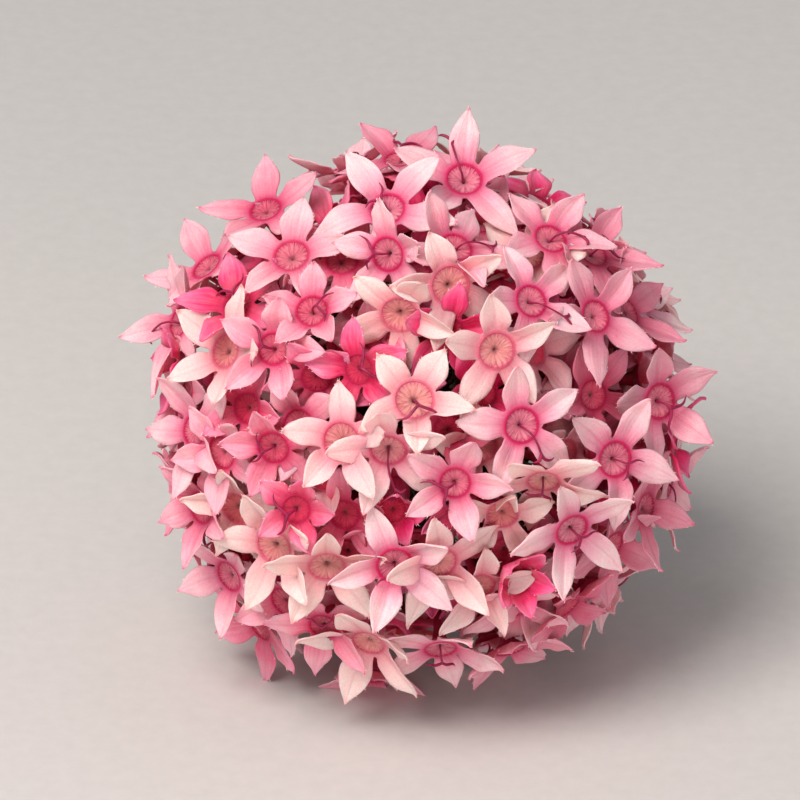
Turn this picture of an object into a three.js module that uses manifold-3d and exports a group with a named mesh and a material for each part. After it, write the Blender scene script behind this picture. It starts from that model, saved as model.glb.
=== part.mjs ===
// A picked head of pentas, lying on its side: a ball of five-petalled florets on a stem with two leaves.
// Millimetres, +Z up. The origin lies on the surface that the flower rests on, under the middle of its box.
import * as THREE from "three";
import { mergeVertices } from "three/addons/utils/BufferGeometryUtils.js";
import Module from "manifold-3d";

// The head
const HEAD_MIDDLE = new THREE.Vector3(0.2, -17.4, 28);
const GROWTH_ELEVATION = 50; // degrees above level, of the line from the stem out through the head
const OPEN_SIDE_ELEVATION = 28; // degrees above level, of the side that the FLORETS list is measured on
const CORE_RADIUS = 15;
const THROAT_DISTANCE = 29; // from the head's middle to a floret's throat
const TUBE_ROOT_DISTANCE = 10; // the tubes end inside the core

// A floret
const PETALS = 5;
const CENTRE_DEPTH = 0.5;
const NOTCH_RADIUS = 2.3; // where two petals meet
const SHOULDER = { along: 0.55, halfAngle: 23 }; // the widest place of a petal
const PETAL_RISE = 15; // degrees that a petal rises from the throat
const TUBE = { radius: 1.1, depth: 1.5 }; // the top of the tube, behind the throat

// The florets of the closed side, placed by rule
const SPIRAL_COUNT = 150;
const SPIRAL_LIMIT = 128; // degrees from the growth line to the last florets
const GOLDEN_ANGLE = 137.508;
const LEAST_SPACING = 7.3; // between the throats of two florets
const OPEN_SIDE_LIMIT = 0.3; // cosine from the open side's line past which the rule places none
const DEEPEST = 2.5; // how far the rule sinks a floret
const CLOSED_SIDE_REACH = { least: 6.4, most: 7.8 };
const CLOSED_SIDE_LEAN = 0.15; // how far they lean from straight out towards the growth line
const SEED = 5;

// The stem and its branches
const STEM_SIDES = 8;
const STEM_RADIUS = 1.8;
const STEM_LENGTH_ON_TABLE = 34;
const TABLE_CONTACT = 33; // from the head's middle to where the stem comes down, along Y
const BRANCHES = 7;
const BRANCH_RADIUS = 0.9;
const BRANCH_END = 138; // degrees from the growth line to the tips of the branches
const CLEARANCE = 0.3; // between two nodes that touch on the real flower
const SLIVER = 0.02; // edges shorter than this, left where solids join, are closed up

// The leaves
const LEAF = { length: 31, width: 13, thickness: 0.8, arch: 4.2, fold: 1.6, wave: 0.5 };
const LEAF_STALK = { share: 0.16, halfWidth: 0.8 };
const LEAF_TIP_HALF_WIDTH = 0.2;
const LEAF_ROWS = 12;
const LEAF_COLUMNS = [-1, -0.5, 0, 0.5, 1];
const LEAF_WAVES = 2.5; // along each edge
const LEAF_NODE = 41; // from the head's middle, along Y
const LEAF_SPREAD = 50; // degrees between a leaf and the stem

// Each floret of the open side, seen along the open side's line: how far across and up from the head's middle
// its throat is, which way it faces (degrees anticlockwise from +X) and how far it is tipped that way, the
// direction of one of its petals, how deep it sits below the others, and how far its petals reach.
const FLORETS = [
  // across, up, faces, tipped, turn, sunk, reach
  [4.7, 25.8, 80, 32, 93, 0, 8.8],
  [-3.7, 22.4, 110, 30, 47, 0, 8.4],
  [-2.3, 28.2, 95, 62, 148, 0, 7.5],
  [-17.2, 22.6, 110, 50, 90, 0, 7.4],
  [-23.8, 16.4, 130, 60, 105, 0, 7.6],
  [-26.8, 10.2, 165, 60, 200, 0, 8.4],
  [-20.1, 12.1, 130, 42, 98, 0, 7],
  [-21.4, 6.9, 165, 45, 131, 0, 7.6],
  [-16.1, 7.1, 180, 22, 147, 0, 6.7],
  [-11.9, 11.2, 120, 25, 89, 0, 5.9],
  [-14.2, 17.3, 110, 35, 80, 0, 7.5],
  [-8.7, 16.8, 90, 30, 60, 3, 6.5],
  [-3.7, 17.4, 200, 30, 159, 0, 6.7],
  [3.8, 18.2, 60, 45, 64, 0, 7.5],
  [3.1, 14, 340, 20, 109, 0, 7],
  [11.9, 12.3, 30, 32, 43, 0, 7.2],
  [14.1, 19.2, 60, 42, 61, 0, 7.2],
  [11.7, 17.6, 90, 30, 65, 2.5, 6.5],
  [18.8, 17.7, 50, 50, 67, 0, 7.8],
  [19, 10.7, 20, 40, 54, 0, 7.6],
  [22.7, 11.3, 30, 60, 42, 1, 7.4],
  [26.2, 1.4, 350, 38, 39, 0, 7.8],
  [21.1, -4.9, 350, 30, 65, 0, 7.8],
  [10.8, -1.2, 340, 22, 34, 0, 7.8],
  [3.6, -7.4, 280, 15, 69, 0, 6.4],
  [-3.6, -3.9, 265, 38, 174, 0, 7.4],
  [-0.8, 1.6, 60, 12, 59, 0, 6.6],
  [-8.7, -2.9, 190, 25, 90, 0, 6.9],
  [8.1, 6.9, 330, 20, 26, 0, 7.2],
  [3, 9, 300, 20, 12, 3, 6],
  [-2.4, 10.8, 250, 30, 202, 1, 6.8],
  [-6.8, 4.9, 200, 25, 168, 1.5, 6],
  [-11.4, 4, 260, 30, 260, 3, 6],
  [-19, 0.7, 180, 35, 347, 1.5, 6],
  [-24.9, -1.8, 180, 50, 179, 0, 7.8],
  [-21.8, -4.2, 200, 45, 271, 0.5, 6.4],
  [-16.1, -3.6, 230, 30, 248, 0.5, 6],
  [-13.4, -1.2, 180, 25, 110, 2.5, 6],
  [-13.6, -10.3, 240, 15, 68, 0, 5],
  [-24.2, -10.3, 195, 50, 190, 0, 6.8],
  [-20.1, -10.4, 230, 40, 240, 1.5, 6.4],
  [-16.1, -14.4, 215, 40, 166, 0, 8.2],
  [-21.2, -17.9, 210, 55, 182, 0, 7],
  [-10.3, -16.6, 270, 45, 15, 0, 7.4],
  [-2.9, -16.4, 280, 22, 112, 0, 8],
  [2.1, -16.2, 300, 40, 30, 1, 7.8],
  [6.3, -18.8, 290, 45, 310, 1.5, 6.8],
  [10.2, -17.7, 320, 35, 0, 1, 5.6],
  [12.1, -19.6, 330, 45, 345, 2.5, 6.4],
  [13.2, -7.3, 270, 55, 251, 0, 7.6],
  [16.4, -12.6, 310, 45, 332, 0, 8],
  [24.7, -10.4, 350, 60, 346, 0, 7.2],
  [21, -14.6, 330, 60, 350, 1, 6.8],
  [16, -21.3, 310, 70, 4, 0, 6.4],
  [9.8, -26, 285, 72, 346, 0, 6.8],
  [10.4, -21.2, 280, 60, 261, 1, 6.4],
  [2.1, -25.8, 275, 62, 300, 0, 7.5],
  [-5.4, -29.3, 265, 70, 279, 0, 6.2],
  [-5.8, -25.1, 250, 55, 242, 0, 8.2],
  [-18, -23.7, 215, 65, 176, 0, 7.2],
  [-10.7, -23.3, 250, 45, 176, 0, 6.8],
  [-15.1, -20.7, 220, 50, 190, 1.5, 6.6],
  [-8.4, -10.9, 250, 25, 100, 4, 6.2],
  [-3.1, -10.4, 280, 20, 300, 4, 5],
  [8.8, -10.9, 280, 35, 80, 2.5, 5.8],
  [18.8, 2.1, 0, 35, 200, 4, 6.8],
  [24.3, -1.8, 0, 50, 250, 4, 6.4],
  [6.3, -3.4, 300, 20, 30, 4, 6],
  [-6.8, -21.2, 260, 45, 300, 4, 6],
  [6.6, 21.3, 80, 40, 350, 4, 6.2],
  [-26.2, -7.3, 190, 70, 180, 1.5, 6.6],
];

const wasm = await Module();
wasm.setup();

const radians = THREE.MathUtils.degToRad;
const across = new THREE.Vector3(1, 0, 0);
const openUp = inUprightPlane(90 + OPEN_SIDE_ELEVATION);
const toOpenSide = inUprightPlane(OPEN_SIDE_ELEVATION);
const growth = inUprightPlane(GROWTH_ELEVATION);

// A unit vector in the plane of -Y and +Z, so many degrees up from -Y.
function inUprightPlane(elevation) {
  return new THREE.Vector3(0, -Math.cos(radians(elevation)), Math.sin(radians(elevation)));
}

function along(start, ...steps) {
  const point = start.clone();
  for (const [direction, distance] of steps) point.addScaledVector(direction, distance);
  return point;
}

function seededRandom(seed) {
  let state = seed;
  return () => {
    state = (Math.imul(state, 1664525) + 1013904223) >>> 0;
    return state / 4294967296;
  };
}

function solidOf(vertices, faces) {
  return new wasm.Manifold(
    new wasm.Mesh({
      numProp: 3,
      vertProperties: new Float32Array(vertices.flatMap((v) => v.toArray())),
      triVerts: new Uint32Array(faces.flat()),
    }),
  );
}

function solidFromGeometry(geometry) {
  const bare = geometry.clone().deleteAttribute("normal").deleteAttribute("uv");
  const merged = mergeVertices(bare, 1e-4);
  return new wasm.Manifold(
    new wasm.Mesh({
      numProp: 3,
      vertProperties: merged.attributes.position.array,
      triVerts: new Uint32Array(merged.index.array),
    }),
  );
}

// The largest body of a solid as a mesh: loose scraps are dropped and sealed hollows are filled.
function meshOf(name, solid, material) {
  const bodies = solid.simplify(SLIVER).decompose();
  const made = bodies.reduce((a, b) => (b.volume() > a.volume() ? b : a)).getMesh();
  const geometry = new THREE.BufferGeometry();
  geometry.setAttribute("position", new THREE.BufferAttribute(made.vertProperties, made.numProp));
  geometry.setIndex(new THREE.BufferAttribute(made.triVerts, 1));
  const mesh = new THREE.Mesh(geometry, material);
  mesh.name = name;
  return mesh;
}

// A floret of the list, with its throat, the way it faces and the direction of its first petal.
function listedFloret([x, y, faces, tipped, turn, sunk, reach]) {
  const distance = THROAT_DISTANCE - sunk;
  const depth = Math.sqrt(Math.max(0, distance ** 2 - x ** 2 - y ** 2));
  const throat = along(HEAD_MIDDLE, [across, x], [openUp, y], [toOpenSide, depth]);
  const sideways = Math.sin(radians(tipped));
  const axis = along(
    new THREE.Vector3(),
    [toOpenSide, Math.cos(radians(tipped))],
    [across, sideways * Math.cos(radians(faces))],
    [openUp, sideways * Math.sin(radians(faces))],
  );
  const seen = new THREE.Vector3();
  seen.addScaledVector(across, Math.cos(radians(turn)));
  seen.addScaledVector(openUp, Math.sin(radians(turn)));
  const petal = axis.clone().cross(seen.cross(toOpenSide)).normalize();
  return { throat, axis, petal, reach };
}

// The florets that the list leaves out, on a spiral round the growth line.
function spiralFlorets(listed) {
  const random = seededRandom(SEED);
  const placed = [...listed];
  const second = new THREE.Vector3().crossVectors(growth, across);
  for (let i = 0; i < SPIRAL_COUNT; i++) {
    const height = 1 - ((1 - Math.cos(radians(SPIRAL_LIMIT))) * (i + 0.5)) / SPIRAL_COUNT;
    const ring = Math.sqrt(1 - height ** 2);
    const angle = radians(i * GOLDEN_ANGLE);
    const outward = along(
      new THREE.Vector3(),
      [growth, height],
      [across, ring * Math.cos(angle)],
      [second, ring * Math.sin(angle)],
    );
    const turn = random() * 2 * Math.PI;
    const reach = THREE.MathUtils.lerp(CLOSED_SIDE_REACH.least, CLOSED_SIDE_REACH.most, random());
    const throat = along(HEAD_MIDDLE, [outward, THROAT_DISTANCE - DEEPEST * random()]);
    if (outward.dot(toOpenSide) > OPEN_SIDE_LIMIT) continue;
    if (placed.some((other) => other.throat.distanceTo(throat) < LEAST_SPACING)) continue;
    const axis = outward.lerp(growth, CLOSED_SIDE_LEAN).normalize();
    const petal = new THREE.Vector3().crossVectors(axis, across).normalize();
    petal.applyAxisAngle(axis, turn);
    placed.push({ throat, axis, petal, reach });
  }
  return placed.slice(listed.length);
}

// A floret's solid: five pointed petals on a tube that runs down into the core.
function floretSolid({ throat, axis, petal, reach }) {
  const side = new THREE.Vector3().crossVectors(axis, petal);
  const at = (radius, degrees, height) =>
    along(
      throat,
      [petal, radius * Math.cos(radians(degrees))],
      [side, radius * Math.sin(radians(degrees))],
      [axis, height],
    );
  const onPetal = (share, degrees) => {
    const [out, rise] = [Math.cos(radians(PETAL_RISE)), Math.sin(radians(PETAL_RISE))];
    return at(share * reach * out, degrees, share * reach * rise);
  };
  const outward = throat.clone().sub(HEAD_MIDDLE).normalize();
  const vertices = [at(0, 0, -CENTRE_DEPTH), along(HEAD_MIDDLE, [outward, TUBE_ROOT_DISTANCE])];
  const [CENTRE, ROOT] = [0, 1];
  const cycle = 360 / PETALS;
  for (let k = 0; k < PETALS; k++) {
    const middle = k * cycle;
    vertices.push(
      onPetal(SHOULDER.along, middle - SHOULDER.halfAngle),
      onPetal(1, middle),
      onPetal(SHOULDER.along, middle + SHOULDER.halfAngle),
      at(NOTCH_RADIUS, middle + cycle / 2, 0),
      at(TUBE.radius, middle, -TUBE.depth),
    );
  }
  const faces = [];
  for (let k = 0; k < PETALS; k++) {
    const [first, tip, last, notch, tube] = [2, 3, 4, 5, 6].map((i) => i + 5 * k);
    const before = 5 + 5 * ((k + PETALS - 1) % PETALS);
    const nextTube = 6 + 5 * ((k + 1) % PETALS);
    const outline = [before, first, tip, last, notch];
    for (let i = 0; i + 1 < outline.length; i++) {
      faces.push([CENTRE, outline[i], outline[i + 1]]);
      faces.push([tube, outline[i + 1], outline[i]]);
    }
    faces.push([tube, nextTube, notch], [nextTube, tube, ROOT]);
  }
  // Where a petal would reach below the table, the weight of the head presses it flat.
  for (const vertex of vertices) vertex.z = Math.max(vertex.z, 0);
  return solidOf(vertices, faces);
}

function florets() {
  const listed = FLORETS.map(listedFloret);
  const core = new THREE.IcosahedronGeometry(CORE_RADIUS, 2);
  core.translate(HEAD_MIDDLE.x, HEAD_MIDDLE.y, HEAD_MIDDLE.z);
  let solid = solidFromGeometry(core);
  for (const floret of [...listed, ...spiralFlorets(listed)]) solid = solid.add(floretSolid(floret));
  const material = new THREE.MeshStandardMaterial({ color: "#efb3bd", roughness: 0.6, metalness: 0 });
  return meshOf("florets", solid, material);
}

// A rod of so many sides along a curve.
function rod(curve, radius, sides, steps) {
  const section = new THREE.Shape();
  for (let i = 0; i < sides; i++) {
    const angle = ((i + 0.5) * 2 * Math.PI) / sides;
    const [x, y] = [radius * Math.cos(angle), radius * Math.sin(angle)];
    if (i) section.lineTo(x, y);
    else section.moveTo(x, y);
  }
  return solidFromGeometry(new THREE.ExtrudeGeometry(section, { steps, extrudePath: curve }));
}

function stem() {
  const lyingHeight = STEM_RADIUS * Math.cos(Math.PI / STEM_SIDES);
  const start = along(HEAD_MIDDLE, [growth, -(CORE_RADIUS + CLEARANCE + BRANCH_RADIUS)]);
  const contact = new THREE.Vector3(HEAD_MIDDLE.x, HEAD_MIDDLE.y + TABLE_CONTACT, lyingHeight);
  const bend = new THREE.CubicBezierCurve3(
    start,
    along(start, [growth, -14]),
    along(contact, [new THREE.Vector3(0, -1, 0), 12]),
    contact,
  );
  const end = contact.clone();
  end.y += STEM_LENGTH_ON_TABLE;
  let solid = rod(bend, STEM_RADIUS, STEM_SIDES, 10);
  const overlap = along(contact, [new THREE.Vector3(0, -1, 0), 0.5]);
  solid = solid.add(rod(new THREE.LineCurve3(overlap, end), STEM_RADIUS, STEM_SIDES, 1));
  for (let i = 0; i < BRANCHES; i++) solid = solid.add(branch((i * 360) / BRANCHES));
  const material = new THREE.MeshStandardMaterial({ color: "#7f8f4e", roughness: 0.7, metalness: 0 });
  return meshOf("stem", solid, material);
}

// A branch curves round the core from the top of the stem.
function branch(azimuth) {
  const second = new THREE.Vector3().crossVectors(growth, across);
  const distance = CORE_RADIUS + CLEARANCE + BRANCH_RADIUS;
  const points = [];
  for (let polar = 180; polar >= BRANCH_END; polar -= 7) {
    const ring = distance * Math.sin(radians(polar));
    points.push(
      along(
        HEAD_MIDDLE,
        [growth, distance * Math.cos(radians(polar))],
        [across, ring * Math.cos(radians(azimuth))],
        [second, ring * Math.sin(radians(azimuth))],
      ),
    );
  }
  return rod(new THREE.CatmullRomCurve3(points), BRANCH_RADIUS, 6, points.length);
}

// A leaf: one arched blade with waved edges, narrow at its stalk, on one side of the stem (-1 or +1).
function leaf(name, hand) {
  const base = new THREE.Vector3(
    HEAD_MIDDLE.x + hand * (STEM_RADIUS + CLEARANCE),
    HEAD_MIDDLE.y + LEAF_NODE,
    STEM_RADIUS,
  );
  const forward = new THREE.Vector3(hand * Math.sin(radians(LEAF_SPREAD)), Math.cos(radians(LEAF_SPREAD)), 0);
  const up = new THREE.Vector3(0, 0, 1);
  const sideways = new THREE.Vector3().crossVectors(up, forward);
  const top = [];
  const bottom = [];
  for (let row = 0; row <= LEAF_ROWS; row++) {
    const t = row / LEAF_ROWS;
    const blade = Math.max(0, (t - LEAF_STALK.share) / (1 - LEAF_STALK.share));
    const swell = Math.sin(Math.PI * blade);
    const taper = THREE.MathUtils.lerp(LEAF_STALK.halfWidth, LEAF_TIP_HALF_WIDTH, t);
    const half = taper + (LEAF.width / 2) * Math.sin(Math.PI * blade ** 0.8);
    const arched = LEAF.arch * Math.sin(Math.PI * Math.min(1, 1.06 * t));
    for (const column of LEAF_COLUMNS) {
      const wave = LEAF.wave * Math.sin(2 * Math.PI * LEAF_WAVES * t + column);
      const edge = Math.abs(column) * swell * (LEAF.fold + wave);
      const middle = along(base, [forward, LEAF.length * t], [sideways, half * column], [up, arched + edge]);
      top.push(along(middle, [up, LEAF.thickness / 2]));
      bottom.push(along(middle, [up, -LEAF.thickness / 2]));
    }
  }
  const faces = slabFaces(LEAF_ROWS + 1, LEAF_COLUMNS.length);
  const material = new THREE.MeshStandardMaterial({ color: "#4d6b2f", roughness: 0.65, metalness: 0 });
  return meshOf(name, solidOf([...top, ...bottom], faces), material);
}

// The faces of a slab whose top grid of vertices is followed by its bottom grid.
function slabFaces(rows, columns) {
  const under = rows * columns;
  const faces = [];
  const index = (row, column) => row * columns + column;
  for (let r = 0; r + 1 < rows; r++) {
    for (let c = 0; c + 1 < columns; c++) {
      const [a, b, d, e] = [index(r, c), index(r + 1, c), index(r + 1, c + 1), index(r, c + 1)];
      faces.push([a, b, d], [a, d, e]);
      faces.push([a + under, d + under, b + under], [a + under, e + under, d + under]);
    }
  }
  const rim = [];
  for (let c = 0; c < columns; c++) rim.push(index(0, c));
  for (let r = 1; r < rows; r++) rim.push(index(r, columns - 1));
  for (let c = columns - 2; c >= 0; c--) rim.push(index(rows - 1, c));
  for (let r = rows - 2; r > 0; r--) rim.push(index(r, 0));
  rim.forEach((a, i) => {
    const b = rim[(i + 1) % rim.length];
    faces.push([a, b, b + under], [a, b + under, a + under]);
  });
  return faces;
}

const group = new THREE.Group();
group.add(florets(), stem(), leaf("leaf_left", -1), leaf("leaf_right", 1));
export default group;
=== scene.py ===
# %% [markdown]
# # A picked head of pentas
#
# Pentas is a small soft shrub, grown as a flowering house plant. Its florets stand in a dense ball: each
# has a long slim tube, a throat full of hairs and five pointed petals. This notebook dresses the plain
# solid model of one picked head, which lies on its side on a table. Everything is in metres and in the
# solid model's own frame, so each piece goes exactly where its plain solid is.

# %% Imports and the imported frame
import math
import random

import bmesh
import bpy
import numpy as np
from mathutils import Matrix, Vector
from mathutils.bvhtree import BVHTree


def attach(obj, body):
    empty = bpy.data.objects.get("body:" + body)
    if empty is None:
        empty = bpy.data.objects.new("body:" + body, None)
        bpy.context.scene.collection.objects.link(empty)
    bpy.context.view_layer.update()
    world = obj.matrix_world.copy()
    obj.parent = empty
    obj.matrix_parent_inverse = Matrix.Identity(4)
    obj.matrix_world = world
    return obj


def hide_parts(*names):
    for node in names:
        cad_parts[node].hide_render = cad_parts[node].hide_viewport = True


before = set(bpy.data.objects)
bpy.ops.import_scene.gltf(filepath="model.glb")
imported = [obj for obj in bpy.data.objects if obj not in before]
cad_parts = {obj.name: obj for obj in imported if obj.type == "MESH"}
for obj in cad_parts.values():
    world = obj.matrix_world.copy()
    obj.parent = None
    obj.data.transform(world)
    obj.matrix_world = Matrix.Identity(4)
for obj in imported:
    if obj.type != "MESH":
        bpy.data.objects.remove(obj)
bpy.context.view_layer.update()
print("nodes:", ", ".join(sorted(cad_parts)))

# %% [markdown]
# ## Working by hand, in code
#
# Each small master, such as one corolla, is modelled once with 1 unit for 1 mm, so that no step of the
# work is too small to be kept. It takes its real size when it is put in its place. The helpers below do
# what a hand does in edit mode: select by place, extrude a row, finish with a modifier.

# %% Selecting, extruding and finishing
MM = 0.001


def select_only(piece):
    """Selects one piece alone and makes it the active one."""
    bpy.ops.object.select_all(action="DESELECT")
    piece.select_set(True)
    bpy.context.view_layer.objects.active = piece


def pick(piece, wanted):
    """In edit mode, selects just the vertices whose place passes a test."""
    bpy.ops.mesh.select_all(action="DESELECT")
    shape = bmesh.from_edit_mesh(piece.data)
    for vertex in shape.verts:
        vertex.select = wanted(vertex.co)
    shape.select_flush(True)
    bmesh.update_edit_mesh(piece.data)


def next_row(step, widen=(1, 1, 1), about=(0, 0, 0)):
    """Extrudes what is selected, scales the new row about a point and moves it by a step."""
    bpy.ops.mesh.extrude_region_move()
    bpy.ops.transform.resize(value=widen, center_override=about)
    bpy.ops.transform.translate(value=step)


def finish_with(piece, kind, **settings):
    """Adds a modifier with its settings and applies it."""
    select_only(piece)
    modifier = piece.modifiers.new(kind, kind)
    for name, value in settings.items():
        setattr(modifier, name, value)
    bpy.ops.object.modifier_apply(modifier=modifier.name)


def points_of(piece):
    """The places of a piece's vertices as an array."""
    flat = np.empty(3 * len(piece.data.vertices), np.float32)
    piece.data.vertices.foreach_get("co", flat)
    return flat.reshape(-1, 3).astype(float)


def triangles_of(piece):
    return sum(len(face.vertices) - 2 for face in piece.data.polygons)


# %% [markdown]
# ## Where the florets sit
#
# The florets of the open side are listed, as the solid model lists them: how far across and up
# from the head's middle the throat is, which way it faces and how far it is tipped that way, the
# direction of one petal, how deep it sits and how far its petals reach. Then come its looks: how deep
# its pink is, how aged it is, how much painted shade it has (a dusky mauve), the size of its throat,
# the direction and length of its style (0 for none), and its form. All angles are in degrees and
# lengths in millimetres.

# %% The head and the florets of its open side
HEAD_MIDDLE = np.array((0.2, -17.4, 28.0))
GROWTH_ELEVATION = 50
OPEN_SIDE_ELEVATION = 28
THROAT_DISTANCE = 29.0
CALYX_DISTANCE = 15.5

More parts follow.
